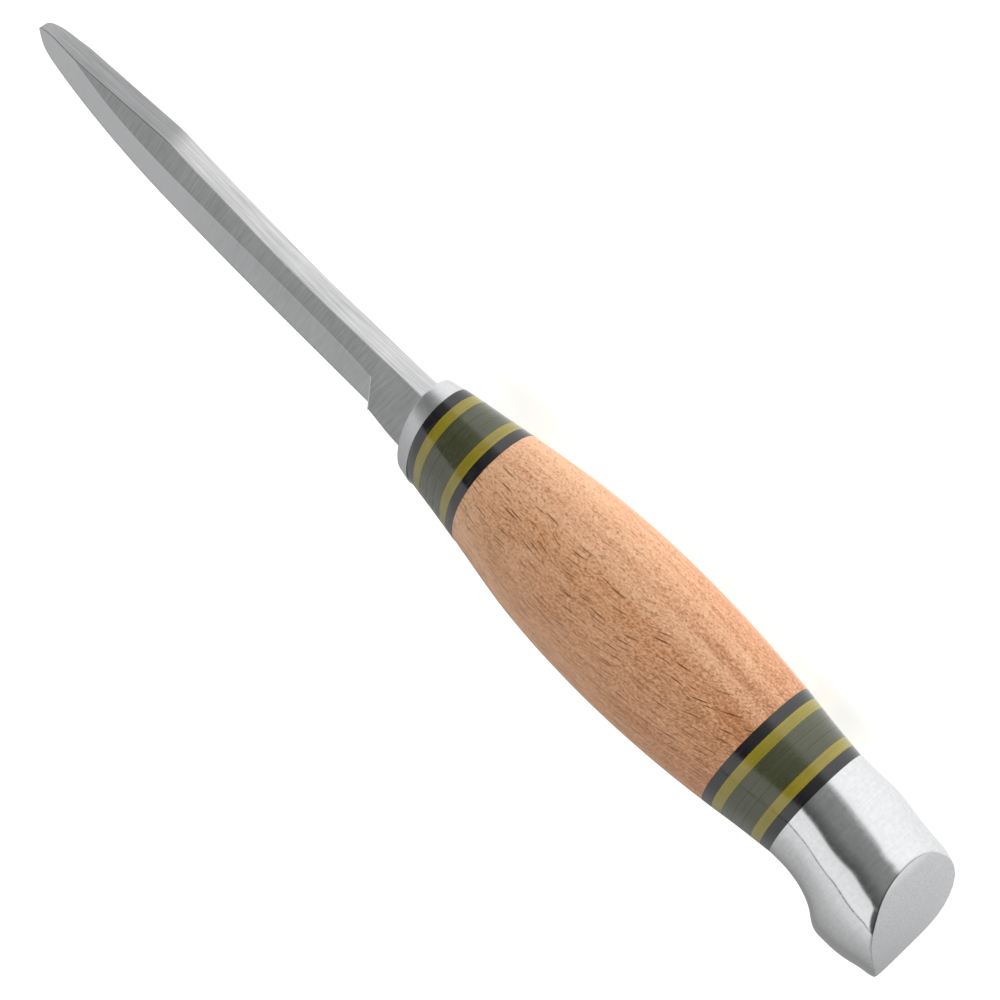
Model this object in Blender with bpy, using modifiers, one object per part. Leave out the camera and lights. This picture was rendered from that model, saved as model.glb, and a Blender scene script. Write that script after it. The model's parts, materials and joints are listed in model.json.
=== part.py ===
"""Wood carving knife with a rounded tip, a beech grip and fibre spacers.

The knife lies on its right side. X runs from the pommel to the tip, Y points to the cutting edge
and Z points up, away from the left face of the blade. Sizes below are in millimetres. While the parts are
made, a point is given as (x, rise, side): x from the front end of the grip towards the tip, rise from
the handle's axis towards the spine, side from the middle plane towards the left face.
"""

import bmesh
import bpy
import math
import numpy as np

MM = 0.001

# Gaps between pieces
GLUE_LINE = 0.02
SEAT_GAP = 0.05
SLOT_GAP = 0.3
BRAZE_GAP = 0.15

# Blade
BLADE_LENGTH = 92.0
BLADE_HEIGHT = 20.0
BLADE_THICKNESS = 3.5
EDGE_THICKNESS = 0.25

# Tang and the stud on its tongue
TANG_HEIGHT = 10.0
TANG_END_HEIGHT = 7.0
TANG_LENGTH = 52.0
TONGUE_LENGTH = 8.0
STUD_CHEEK = 1.25
STUD_CHAMFER = 0.6
STUD_IN_POMMEL = 12.5

# Handle
GRIP_LENGTH = 56.7
GRIP_WIDTH = 24.3
GRIP_HEIGHT = 32.4
SPACER_THICKNESS = 1.79
SPACER_COLOURS = ("black", "olive", "green", "green", "green", "olive", "black")
BOLSTER_THICKNESS = 3.1
BOLSTER_ROUNDING = 0.8
BOLSTER_LIP = 1.0
POMMEL_LENGTH = 23.8

# Mesh fineness
SECTION_POINTS = 44
ROUND_STEPS = 28
SPINE_STEPS = 12
BELLY_STEPS = 18
GRIND_STEPS = 13
ROUNDING_RINGS = 5
GRIP_RINGS = 15
POMMEL_RINGS = 16
BUTT_STEPS = 22

# Lengths that follow from the sizes above
STUD_RADIUS = BLADE_THICKNESS / 2 + STUD_CHEEK
TONGUE_HEIGHT = 2 * math.sqrt(STUD_RADIUS**2 - (BLADE_THICKNESS / 2) ** 2) - BRAZE_GAP
SPACER_PITCH = SPACER_THICKNESS + GLUE_LINE
STACK_LENGTH = len(SPACER_COLOURS) * SPACER_PITCH
BOLSTER_BACK = STACK_LENGTH + GLUE_LINE
BOLSTER_FRONT = BOLSTER_BACK + BOLSTER_THICKNESS
SHOULDER = BOLSTER_FRONT + SEAT_GAP
TANG_END = SHOULDER - TANG_LENGTH
TONGUE_END = TANG_END - TONGUE_LENGTH
POMMEL_FRONT = -GRIP_LENGTH - STACK_LENGTH - GLUE_LINE
STUD_FRONT = TANG_END - BRAZE_GAP
STUD_END = POMMEL_FRONT - STUD_IN_POMMEL

# Blade lines as (distance from the shoulder as a share of the length, rise as a share of the height)
SPINE_LINE = ((0.0, 0.515), (0.13, 0.49), (0.31, 0.475), (0.48, 0.513), (0.642, 0.568))
POINT_LINE = ((0.95, 0.40), (0.975, 0.358), (0.988, 0.315), (0.996, 0.25), (1.0, 0.16))
EDGE_LINE = ((0.115, -0.478), (0.38, -0.48), (0.57, -0.458), (0.70, -0.42), (0.797, -0.348),
             (0.884, -0.238), (0.927, -0.163))
TIP_LINE = ((0.96, -0.098), (0.986, -0.03), (0.994, 0.013), (0.999, 0.075), (1.0, 0.16))
RICASSO_LINE = ((0.0, -0.495), (0.055, -0.465), (0.092, -0.415), (0.104, -0.395))
GRIND_TOP_LINE = ((0.108, 0.11), (0.16, 0.138), (0.28, 0.158), (0.55, 0.153), (0.66, 0.163),
                  (0.735, 0.198), (0.80, 0.265), (0.875, 0.405), (0.92, 0.52), (1.04, 0.85))

# Handle sections as (x, width share, height share, rise of the centre as a share of half the height)
HANDLE_SECTIONS = (
    (POMMEL_FRONT, 0.764, 0.745, 0.034),
    (-GRIP_LENGTH - STACK_LENGTH / 2, 0.828, 0.769, 0.021),
    (-GRIP_LENGTH, 0.902, 0.812, 0.008),
    (-0.75 * GRIP_LENGTH, 0.993, 0.938, -0.023),
    (-0.5 * GRIP_LENGTH, 1.0, 1.0, -0.04),
    (-0.25 * GRIP_LENGTH, 0.914, 0.981, -0.041),
    (0.0, 0.724, 0.877, -0.023),
    (STACK_LENGTH / 2, 0.627, 0.84, -0.031),
    (STACK_LENGTH, 0.531, 0.801, -0.039),
    (BOLSTER_FRONT, 0.461, 0.784, -0.043),
)
SECTION_SQUARENESS = ((POMMEL_FRONT, 2.09), (BOLSTER_FRONT, 2.47))
SECTION_EGG = 0.125

# Pommel body as (share of the pommel length, width share, top and bottom as shares of half the height, egg)
POMMEL_SECTIONS = (
    (0.0, 0.764, 0.779, -0.711, 0.13),
    (0.15, 0.765, 0.753, -0.747, 0.18),
    (0.31, 0.782, 0.704, -0.92, 0.27),
    (0.40, 0.794, 0.667, -1.136, 0.31),
    (0.48, 0.807, 0.63, -1.457, 0.34),
    (0.62, 0.807, 0.549, -1.531, 0.38),
    (0.75, 0.79, 0.506, -1.50, 0.42),
    (0.88, 0.741, 0.488, -1.44, 0.43),
    (1.08, 0.70, 0.469, -1.40, 0.43),
)
POMMEL_SQUARENESS = 2.1

# Side outline of butt and beak as (share of the pommel length, share of half the height), top to bottom
BUTT_LINE = ((0.50, 0.895), (0.68, 0.488), (0.776, 0.296), (0.862, 0.062), (0.945, -0.228),
             (0.993, -0.574), (1.0, -0.833), (0.994, -1.049), (0.975, -1.215))
BEAK_CORNER = (0.48, -1.389)

# Colour, roughness and metallic of each material
FINISHES = {
    "ground_steel": ((0.50, 0.50, 0.51, 1.0), 0.32, 1.0),
    "satin_aluminium": ((0.72, 0.72, 0.73, 1.0), 0.30, 1.0),
    "beech": ((0.62, 0.34, 0.19, 1.0), 0.55, 0.0),
    "fibre_black": ((0.035, 0.035, 0.038, 1.0), 0.45, 0.0),
    "fibre_olive": ((0.35, 0.30, 0.10, 1.0), 0.45, 0.0),
    "fibre_green": ((0.14, 0.18, 0.12, 1.0), 0.45, 0.0),
    "stud_steel": ((0.45, 0.45, 0.46, 1.0), 0.4, 1.0),
}


def clear_scene():
    for item in list(bpy.data.objects):
        bpy.data.objects.remove(item, do_unlink=True)


def new_collection(name):
    collection = bpy.data.collections.new(name)
    bpy.context.scene.collection.children.link(collection)
    return collection


def point(x, rise, side):
    return (x * MM, -rise * MM, side * MM)


def smooth(line, x):
    """Value at x of a smooth curve through the points of a line sorted by x."""
    xs = np.array([row[0] for row in line])
    ys = np.array([row[1] for row in line])
    slopes = np.gradient(ys, xs)
    i = int(np.clip(np.searchsorted(xs, x) - 1, 0, len(xs) - 2))
    step = xs[i + 1] - xs[i]
    t = (x - xs[i]) / step
    a = (1 + 2 * t) * (1 - t) ** 2 * ys[i] + t * (1 - t) ** 2 * step * slopes[i]
    b = t * t * (3 - 2 * t) * ys[i + 1] + t * t * (t - 1) * step * slopes[i + 1]
    return float(a + b)


def column(table, k):
    return [(row[0], row[k]) for row in table]


def oval(x, half_width, half_height, centre, squareness, egg):
    """Egg-shaped section across the handle, wider on the spine's side."""
    ring = []
    for k in range(SECTION_POINTS):
        turn = 2 * math.pi * k / SECTION_POINTS
        across = math.copysign(abs(math.cos(turn)) ** (2 / squareness), math.cos(turn))
        along = math.copysign(abs(math.sin(turn)) ** (2 / squareness), math.sin(turn))
        side = half_width * across * (1 + egg * along)
        ring.append(point(x, centre + half_height * along, side))
    return ring


def handle_ring(x, inset=0.0, lip=0.0):
    """Section of the handle at x, made smaller by an inset and deeper at the edge's side by a lip."""
    half_width = smooth(column(HANDLE_SECTIONS, 1), x) * GRIP_WIDTH / 2 - inset
    half_height = smooth(column(HANDLE_SECTIONS, 2), x) * GRIP_HEIGHT / 2 - inset + lip / 2
    centre = smooth(column(HANDLE_SECTIONS, 3), x) * GRIP_HEIGHT / 2 - lip / 2
    squareness = np.interp(x, *zip(*SECTION_SQUARENESS))
    return oval(x, half_width, half_height, centre, squareness, SECTION_EGG)


def pommel_ring(share):
    """Section of the pommel's body before its butt and beak are cut."""
    x = POMMEL_FRONT - share * POMMEL_LENGTH
    half_width = smooth(column(POMMEL_SECTIONS, 1), share) * GRIP_WIDTH / 2
    top = smooth(column(POMMEL_SECTIONS, 2), share) * GRIP_HEIGHT / 2
    bottom = smooth(column(POMMEL_SECTIONS, 3), share) * GRIP_HEIGHT / 2
    egg = smooth(column(POMMEL_SECTIONS, 4), share)
    return oval(x, half_width, (top - bottom) / 2, (top + bottom) / 2, POMMEL_SQUARENESS, egg)


def add_object(name, mesh, collection):
    item = bpy.data.objects.new(name, mesh)
    collection.objects.link(item)
    return item


def loft(name, rings, collection):
    """Closed solid through a row of rings with equal numbers of points."""
    shape = bmesh.new()
    rows = [[shape.verts.new(spot) for spot in ring] for ring in rings]
    count = len(rows[0])
    for first, second in zip(rows, rows[1:]):
        for k in range(count):
            shape.faces.new((first[k], first[(k + 1) % count], second[(k + 1) % count], second[k]))
    shape.faces.new(rows[0][::-1])
    shape.faces.new(rows[-1])
    bmesh.ops.recalc_face_normals(shape, faces=shape.faces)
    mesh = bpy.data.meshes.new(name)
    shape.to_mesh(mesh)
    shape.free()
    return add_object(name, mesh, collection)


def plate(name, outline, thickness, collection):
    """Flat outline in the blade's plane, filled and given a thickness about the middle plane."""
    curve = bpy.data.curves.new(name, "CURVE")
    curve.dimensions = "2D"
    curve.fill_mode = "BOTH"
    curve.extrude = thickness / 2 * MM
    spline = curve.splines.new("POLY")
    spline.points.add(len(outline) - 1)
    spline.use_cyclic_u = True
    for spot, (x, rise) in zip(spline.points, outline):
        spot.co = (x * MM, -rise * MM, 0.0, 1.0)
    sketch = add_object(name + "_sketch", curve, collection)
    bpy.context.view_layer.update()
    mesh = bpy.data.meshes.new_from_object(sketch.evaluated_get(bpy.context.evaluated_depsgraph_get()))
    bpy.data.objects.remove(sketch, do_unlink=True)
    shape = bmesh.new()
    shape.from_mesh(mesh)
    bmesh.ops.remove_doubles(shape, verts=shape.verts, dist=0.00001)
    bmesh.ops.dissolve_limit(shape, angle_limit=0.001, verts=shape.verts, edges=shape.edges)
    bmesh.ops.recalc_face_normals(shape, faces=shape.faces)
    for face in shape.faces:
        face.smooth = False
    shape.to_mesh(mesh)
    shape.free()
    mesh.name = name
    return add_object(name, mesh, collection)


def box(name, x_from, x_to, height, thickness, collection):
    """Box along the handle's axis, centred on it."""
    shape = bmesh.new()
    bmesh.ops.create_cube(shape, size=1.0)
    for vert in shape.verts:
        vert.co.x = (x_from if vert.co.x < 0 else x_to) * MM
        vert.co.y *= height * MM
        vert.co.z *= thickness * MM
    mesh = bpy.data.meshes.new(name)
    shape.to_mesh(mesh)
    shape.free()
    return add_object(name, mesh, collection)


def turned(name, profile, collection):
    """Solid of revolution about the handle's axis from (x, radius) points, given from front to back."""
    mesh = bpy.data.meshes.new(name)
    spots = [(x * MM, 0.0, radius * MM) for x, radius in profile]
    mesh.from_pydata(spots, [(k, k + 1) for k in range(len(spots) - 1)], [])
    item = add_object(name, mesh, collection)
    screw = item.modifiers.new("turn", "SCREW")
    screw.axis = "X"
    screw.steps = ROUND_STEPS
    screw.render_steps = ROUND_STEPS
    screw.use_merge_vertices = True
    screw.merge_threshold = 0.00001
    screw.use_smooth_shade = True
    return item


def boolean(item, cutter, operation):
    step = item.modifiers.new(operation.lower() + "_" + cutter.name, "BOOLEAN")
    step.operation = operation
    step.solver = "EXACT"
    step.object = cutter


def finish(item, slot):
    """Give the piece its own material."""
    colour, roughness, metallic = FINISHES[slot]
    material = bpy.data.materials.new(slot + "_" + item.name)
    material.use_nodes = True
    shader = material.node_tree.nodes["Principled BSDF"]
    shader.inputs["Base Color"].default_value = colour
    shader.inputs["Roughness"].default_value = roughness
    shader.inputs["Metallic"].default_value = metallic
    item.data.materials.append(material)


def smooth_sides(item):
    """Shade the curved faces smooth and leave the flat ends sharp."""
    for face in item.data.polygons:
        face.use_smooth = len(face.vertices) == 4


def along_blade(line, count):
    """Points of a smooth blade line, evenly spread over its length."""
    shares = np.linspace(line[0][0], line[-1][0], count)
    return line_points([(share, smooth(line, share)) for share in shares])


def line_points(line):
    return [(SHOULDER + share * BLADE_LENGTH, rise * BLADE_HEIGHT) for share, rise in line]


def blade_outline():
    """Outline of blade, shoulders, tang and tongue, round from the tang's upper corner."""
    outline = [(TONGUE_END, TONGUE_HEIGHT / 2), (TANG_END, TONGUE_HEIGHT / 2)]
    outline += [(TANG_END, TANG_END_HEIGHT / 2), (SHOULDER, TANG_HEIGHT / 2)]
    outline += along_blade(SPINE_LINE, SPINE_STEPS)
    outline += line_points(POINT_LINE)
    belly = along_blade(EDGE_LINE, BELLY_STEPS) + line_points(TIP_LINE[:-1])
    outline += belly[::-1]
    outline += line_points(RICASSO_LINE)[::-1]
    outline += [(SHOULDER, -TANG_HEIGHT / 2), (TANG_END, -TANG_END_HEIGHT / 2)]
    outline += [(TANG_END, -TONGUE_HEIGHT / 2), (TONGUE_END, -TONGUE_HEIGHT / 2)]
    return outline


def grind_ring(share, hand):
    """Three-cornered section of the stock ground away from one side of the blade."""
    line = EDGE_LINE + TIP_LINE
    x = SHOULDER + share * BLADE_LENGTH
    top = smooth(GRIND_TOP_LINE, share) * BLADE_HEIGHT
    edge = smooth(line, min(max(share, line[0][0]), line[-1][0])) * BLADE_HEIGHT
    half = BLADE_THICKNESS / 2
    slope = (half - EDGE_THICKNESS / 2) / (top - edge)
    above = BLADE_THICKNESS
    below = 3 * BLADE_THICKNESS
    corners = [
        (top + above, half + slope * above),
        (edge - below, EDGE_THICKNESS / 2 - slope * below),
        (edge - below, 2 * BLADE_THICKNESS),
    ]
    return [point(x, rise, side * hand) for rise, side in corners]


def grind_cutter(name, hand, collection):
    heel = GRIND_TOP_LINE[0][0]
    shares = list(np.linspace(heel, EDGE_LINE[-1][0], GRIND_STEPS))
    shares += [share for share, rise in TIP_LINE] + [1.0 + BLADE_THICKNESS / BLADE_LENGTH]
    return loft(name, [grind_ring(share, hand) for share in shares], collection)


def make_blade(parts, cutters):
    blade = plate("blade", blade_outline(), BLADE_THICKNESS, parts)
    for name, hand in (("grind_left", 1), ("grind_right", -1)):
        boolean(blade, grind_cutter(name, hand, cutters), "DIFFERENCE")
    finish(blade, "ground_steel")
    return blade


def make_bolster(parts, slot):
    rings = []
    for turn in np.linspace(0, math.pi / 2, ROUNDING_RINGS):
        x = BOLSTER_FRONT - BOLSTER_ROUNDING * (1 - math.sin(turn))
        rings.append(handle_ring(x, BOLSTER_ROUNDING * (1 - math.cos(turn)), BOLSTER_LIP))
    bolster = loft("bolster", [handle_ring(BOLSTER_BACK, 0.0, BOLSTER_LIP)] + rings, parts)
    boolean(bolster, slot, "DIFFERENCE")
    finish(bolster, "satin_aluminium")
    smooth_sides(bolster)


def make_spacers(end, parts, hole):
    for k, colour in enumerate(SPACER_COLOURS):
        if end == "front":
            back = STACK_LENGTH - (k + 1) * SPACER_PITCH + GLUE_LINE
        else:
            back = -GRIP_LENGTH - (k + 1) * SPACER_PITCH
        name = "spacer_" + end + "_" + str(k + 1) + "_" + colour
        spacer = loft(name, [handle_ring(back), handle_ring(back + SPACER_THICKNESS)], parts)
        boolean(spacer, hole, "DIFFERENCE")
        finish(spacer, "fibre_" + colour)
        smooth_sides(spacer)


def make_grip(parts, slot, bore):
    rings = [handle_ring(x) for x in np.linspace(-GRIP_LENGTH, 0.0, GRIP_RINGS)]
    grip = loft("grip", rings, parts)
    boolean(grip, slot, "DIFFERENCE")
    boolean(grip, bore, "DIFFERENCE")
    finish(grip, "beech")
    smooth_sides(grip)


def make_pommel(parts, cutters, bore):
    shares = np.linspace(0.0, POMMEL_SECTIONS[-1][0], POMMEL_RINGS)
    pommel = loft("pommel", [pommel_ring(share) for share in shares], parts)
    rises = np.linspace(BUTT_LINE[0][1], BUTT_LINE[-1][1], BUTT_STEPS)
    butt = sorted((rise, share) for share, rise in BUTT_LINE)
    outline = [(smooth(butt, rise), rise) for rise in rises] + [BEAK_CORNER]
    outline = [(POMMEL_FRONT - share * POMMEL_LENGTH, rise * GRIP_HEIGHT / 2) for share, rise in outline]
    front = POMMEL_FRONT + SPACER_THICKNESS
    outline += [(front, outline[-1][1]), (front, outline[0][1])]
    side = plate("pommel_side", outline, 2 * GRIP_WIDTH, cutters)
    boolean(pommel, side, "INTERSECT")
    boolean(pommel, bore, "DIFFERENCE")
    finish(pommel, "satin_aluminium")
    smooth_sides(pommel)


def make_stud(parts, cutters):
    profile = (
        (STUD_FRONT, 0.0),
        (STUD_FRONT, STUD_RADIUS - STUD_CHAMFER),
        (STUD_FRONT - STUD_CHAMFER, STUD_RADIUS),
        (STUD_END + STUD_CHAMFER, STUD_RADIUS),
        (STUD_END, STUD_RADIUS - STUD_CHAMFER),
        (STUD_END, 0.0),
    )
    stud = turned("tang_stud", profile, parts)
    width = BLADE_THICKNESS + 2 * BRAZE_GAP
    saw_end = TONGUE_END - BRAZE_GAP
    saw_front = STUD_FRONT + STUD_CHAMFER
    saw = box("stud_saw_cut", saw_end, saw_front, 4 * STUD_RADIUS, width, cutters)
    boolean(stud, saw, "DIFFERENCE")
    finish(stud, "stud_steel")


def settle(parts):
    """Put the origin under the middle of the knife, at the height it lies on."""
    bpy.context.view_layer.update()
    scene = bpy.context.evaluated_depsgraph_get()
    low = np.full(3, np.inf)
    high = np.full(3, -np.inf)
    for item in parts.objects:
        shape = item.evaluated_get(scene).to_mesh()
        spots = np.array([vert.co for vert in shape.vertices])
        low = np.minimum(low, spots.min(axis=0))
        high = np.maximum(high, spots.max(axis=0))
    shift = (-(low[0] + high[0]) / 2, -(low[1] + high[1]) / 2, -low[2])
    for collection in bpy.context.scene.collection.children:
        for item in collection.objects:
            item.location = shift


def main():
    clear_scene()
    parts = new_collection("wood_carving_knife")
    cutters = new_collection("cutters")
    slot_height = max(TANG_HEIGHT, TANG_END_HEIGHT) + 2 * SLOT_GAP
    slot_width = BLADE_THICKNESS + 2 * SLOT_GAP
    slot_front = BOLSTER_FRONT + BOLSTER_THICKNESS
    slot = box("tang_slot", TANG_END - SLOT_GAP, slot_front, slot_height, slot_width, cutters)
    radius = STUD_RADIUS + SLOT_GAP
    front = TANG_END + SLOT_GAP
    end = STUD_END - SLOT_GAP
    bore = turned("stud_bore", ((front, 0), (front, radius), (end, radius), (end, 0)), cutters)
    make_blade(parts, cutters)
    make_bolster(parts, slot)
    make_spacers("front", parts, slot)
    make_grip(parts, slot, bore)
    make_spacers("rear", parts, bore)
    make_pommel(parts, cutters, bore)
    make_stud(parts, cutters)
    for item in cutters.objects:
        item.hide_render = True
        item.display_type = "WIRE"
    settle(parts)


main()
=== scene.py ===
# %% [markdown]
# # A wood carving knife, piece by piece
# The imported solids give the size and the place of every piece. They are faceted and plain, so this
# lesson builds a finer mesh over each one and gives it the finish that the real piece has.

import json
import math

import bmesh
import bpy
import numpy as np
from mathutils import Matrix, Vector, noise

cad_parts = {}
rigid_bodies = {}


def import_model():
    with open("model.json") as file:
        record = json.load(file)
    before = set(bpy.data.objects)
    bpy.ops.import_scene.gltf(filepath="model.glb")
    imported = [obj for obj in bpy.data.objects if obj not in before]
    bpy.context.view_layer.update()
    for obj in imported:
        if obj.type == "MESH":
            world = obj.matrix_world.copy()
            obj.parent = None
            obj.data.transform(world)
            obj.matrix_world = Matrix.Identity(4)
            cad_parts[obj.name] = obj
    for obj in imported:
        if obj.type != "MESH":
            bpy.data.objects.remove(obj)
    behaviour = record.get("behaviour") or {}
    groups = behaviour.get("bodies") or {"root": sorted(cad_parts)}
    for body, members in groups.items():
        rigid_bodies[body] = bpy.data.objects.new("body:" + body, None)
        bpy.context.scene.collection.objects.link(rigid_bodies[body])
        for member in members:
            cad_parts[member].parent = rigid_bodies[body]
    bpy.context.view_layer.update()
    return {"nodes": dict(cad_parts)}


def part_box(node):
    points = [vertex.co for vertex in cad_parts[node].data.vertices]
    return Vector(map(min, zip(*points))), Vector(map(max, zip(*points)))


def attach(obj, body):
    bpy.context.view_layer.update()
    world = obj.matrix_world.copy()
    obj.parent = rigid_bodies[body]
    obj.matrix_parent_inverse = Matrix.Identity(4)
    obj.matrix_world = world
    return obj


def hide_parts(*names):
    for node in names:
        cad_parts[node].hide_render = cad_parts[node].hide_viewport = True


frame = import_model()
MM = 0.001

# %% [markdown]
# ## Knife coordinates
# A knife maker measures along the knife, up to the spine and out to the side. Every size below is in
# millimetres in that system: x from the front end of the grip to the tip, rise from the handle's axis
# to the spine, side from the middle of the blade to its left face. The zero point is read from the
# frame, so that the meshes land on the solids without any fitting.

# %% Find the handle's axis in the frame
stud_low, stud_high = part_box("tang_stud")
AXIS = Vector((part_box("grip")[1].x, (stud_low.y + stud_high.y) / 2, (stud_low.z + stud_high.z) / 2))


def along(node):
    """Back and front end of a solid in knife coordinates."""
    low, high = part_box(node)
    return (low.x - AXIS.x) / MM, (high.x - AXIS.x) / MM


def world(ring):
    """Points given as (x, rise, side) in millimetres, in the frame's metres."""
    return [AXIS + Vector((x, -rise, side)) * MM for x, rise, side in ring]


GRIP_BACK, GRIP_FRONT = along("grip")
POMMEL_BACK, POMMEL_FRONT = along("pommel")
BOLSTER_BACK, BOLSTER_FRONT = along("bolster")
SEAT_GAP = 0.05  # the blade's shoulder stands this far in front of the bolster
SHOULDER = BOLSTER_FRONT + SEAT_GAP
TIP = along("blade")[1]
print("grip", round(GRIP_FRONT - GRIP_BACK, 2), "blade", round(TIP - SHOULDER, 2))

# %% [markdown]
# ## Smooth lines through few points
# A handle is drawn as a handful of sections, and a blade as a handful of points on its outline. A
# spline object could join them, but a cubic through the points, worked out by a formula, can be asked
# for its value anywhere, and it is the same curve that the solids follow.

# %% Smooth curve


def smooth(line, x):
    """Value at x of a smooth curve through points sorted by x."""
    xs, ys = np.array(line, float).T
    slopes = np.gradient(ys, xs)
    i = int(np.clip(np.searchsorted(xs, x) - 1, 0, len(xs) - 2))
    step = xs[i + 1] - xs[i]
    t = (x - xs[i]) / step
    a = (1 + 2 * t) * (1 - t) ** 2 * ys[i] + t * (1 - t) ** 2 * step * slopes[i]
    b = t * t * (3 - 2 * t) * ys[i + 1] + t * t * (t - 1) * step * slopes[i + 1]
    return float(a + b)


def column(table, k):
    """One column of a table of sections, with the first column as its x."""
    return [(row[0], row[k]) for row in table]


print("smooth curve through 0, 1 and 0, half way to the 1:", smooth(((0, 0), (1, 1), (2, 0)), 0.5))

# %% [markdown]
# ## Sections of the handle
# The handle is egg-shaped in section, wider toward the spine, and a little squarer at the front. Circles
# scaled by hand would not do. A sine and a cosine raised to a power make an oval fuller or rounder, and a
# width that grows with the rise makes it an egg, so one formula draws every section. The table lists where
# the handle swells and narrows, in shares of the grip's largest size.

# %% Handle sections
GRIP_WIDTH = 24.3
GRIP_HEIGHT = 32.4
HALF_WIDTH, HALF_HEIGHT = GRIP_WIDTH / 2, GRIP_HEIGHT / 2
RING_POINTS = 144
TURNS = np.linspace(0, 2 * math.pi, RING_POINTS, endpoint=False)
ELLIPSE = 2.0  # the squareness of a plain ellipse


def oval(x, half_width, half_height, centre=0.0, squareness=ELLIPSE, egg=0.0, turns=TURNS):
    """Section across the handle, wider on the spine's side by the share egg."""
    power = 2 / squareness
    across = np.sign(np.cos(turns)) * np.abs(np.cos(turns)) ** power
    upward = np.sign(np.sin(turns)) * np.abs(np.sin(turns)) ** power
    side = half_width * across * (1 + egg * upward)
    return np.stack([np.full_like(turns, x), centre + half_height * upward, side], axis=1)


STACK = BOLSTER_BACK  # the front spacers fill the room from the grip at 0 to the bolster
# Each row: place along the knife, share of the width, share of the height, rise of the section's middle
# as a share of half the height.
HANDLE_SECTIONS = (
    (POMMEL_FRONT, 0.764, 0.745, 0.034),
    (GRIP_BACK - STACK / 2, 0.828, 0.769, 0.021),
    (GRIP_BACK, 0.902, 0.812, 0.008),
    (0.75 * GRIP_BACK, 0.993, 0.938, -0.023),
    (0.5 * GRIP_BACK, 1.0, 1.0, -0.04),
    (0.25 * GRIP_BACK, 0.914, 0.981, -0.041),
    (0.0, 0.724, 0.877, -0.023),
    (STACK / 2, 0.627, 0.84, -0.031),
    (STACK, 0.531, 0.801, -0.039),
    (BOLSTER_FRONT, 0.461, 0.784, -0.043),
)
SQUARENESS_BACK, SQUARENESS_FRONT = 2.09, 2.2
HANDLE_EGG = 0.125


def handle_ring(x, inset=0.0, lip=0.0):
    """Section of the handle at x, made smaller by an inset and deeper at the edge's side by a lip."""
    half_width = smooth(column(HANDLE_SECTIONS, 1), x) * HALF_WIDTH - inset
    half_height = smooth(column(HANDLE_SECTIONS, 2), x) * HALF_HEIGHT - inset + lip / 2
    centre = smooth(column(HANDLE_SECTIONS, 3), x) * HALF_HEIGHT - lip / 2
    share = (x - POMMEL_FRONT) / (BOLSTER_FRONT - POMMEL_FRONT)
    squareness = SQUARENESS_BACK + share * (SQUARENESS_FRONT - SQUARENESS_BACK)
    return oval(x, half_width, half_height, centre, squareness, HANDLE_EGG)


print("middle section:", np.round(np.ptp(handle_ring(GRIP_BACK / 2), axis=0)[1:], 1), "mm")

# %% [markdown]
# ## From rings to a piece
# All the handle's pieces but the pommel are sleeves: an outer skin, a hole for the tang, and two flat ends.
# A loft with the hole cut by a Boolean would leave long triangles on the ends. Rings that run forward over
# the outside and back through the hole close on themselves, and give a clean mesh of four-sided faces.

# %% Loft helpers
SLEEVE_SHARP = 40  # faces that meet at more than this many degrees keep a sharp edge


def new_piece(name, mesh_tool, sharp_angle):
    """Finish a bmesh as a shown piece that rides on the knife."""
    bmesh.ops.recalc_face_normals(mesh_tool, faces=mesh_tool.faces)
    mesh = bpy.data.meshes.new(name)
    mesh_tool.to_mesh(mesh)
    mesh_tool.free()
    mesh.shade_smooth()
    mesh.set_sharp_from_angle(angle=math.radians(sharp_angle))
    piece = bpy.data.objects.new(name, mesh)
    bpy.context.scene.collection.objects.link(piece)
    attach(piece, "root")
    return piece


def bridge(mesh_tool, rings, closed):
    """Faces between neighbouring rings of equal length, and round to the first ring when closed."""
    rows = [[mesh_tool.verts.new(spot) for spot in world(ring)] for ring in rings]
    pairs = list(zip(rows, rows[1:])) + ([(rows[-1], rows[0])] if closed else [])
    faces = []
    for first, second in pairs:
        count = len(first)
        for k in range(count):
            corners = (first[k], first[(k + 1) % count], second[(k + 1) % count], second[k])
            faces.append(mesh_tool.faces.new(corners))
    return rows, faces


def sleeve(name, node, rings):
    """A piece of the handle from rings that close on themselves, in place of its solid."""
    mesh_tool = bmesh.new()
    bridge(mesh_tool, rings, closed=True)
    piece = new_piece(name, mesh_tool, SLEEVE_SHARP)
    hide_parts(node)
    return piece


print("a ring has", RING_POINTS, "points, about", round(math.tau * HALF_HEIGHT / RING_POINTS, 2), "mm apart")

# %% [markdown]
# ## Holes for tang and stud
# The tang is a flat bar, so the pieces in front have a four-cornered slot, and the pieces behind have a
# round hole for the stud. Both holes get as many points as the outside, so that rings can join them.

# %% Slot and hole
TANG_SLOT_HEIGHT = 10.6
TANG_SLOT_WIDTH = 4.1
STUD_HOLE = 3.3  # radius
TINY = 1e-6  # keeps the division finite where a line runs straight up or straight sideways


def slot_ring(x, tighter=0.0):
    """Four-cornered hole for the flat tang, made tighter by a small amount on each side."""
    height, width = TANG_SLOT_HEIGHT / 2 - tighter, TANG_SLOT_WIDTH / 2 - tighter
    reach = np.minimum(width / np.maximum(np.abs(np.cos(TURNS)), TINY),
                       height / np.maximum(np.abs(np.sin(TURNS)), TINY))
    return np.stack([np.full_like(TURNS, x), reach * np.sin(TURNS), reach * np.cos(TURNS)], axis=1)


def hole_ring(x, turns=TURNS):
    """Round hole for the stud."""
    return oval(x, STUD_HOLE, STUD_HOLE, turns=turns)


print("slot", TANG_SLOT_HEIGHT, "by", TANG_SLOT_WIDTH, "mm, hole", 2 * STUD_HOLE, "mm")

# %% [markdown]
# ## Colours and nodes
# Colours are written as sRGB hex values, as a colour picker shows them, and one function turns them to
# the linear values that shaders work with. A second small function adds any node with its settings and
# its links, which keeps each material readable from top to bottom.

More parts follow.
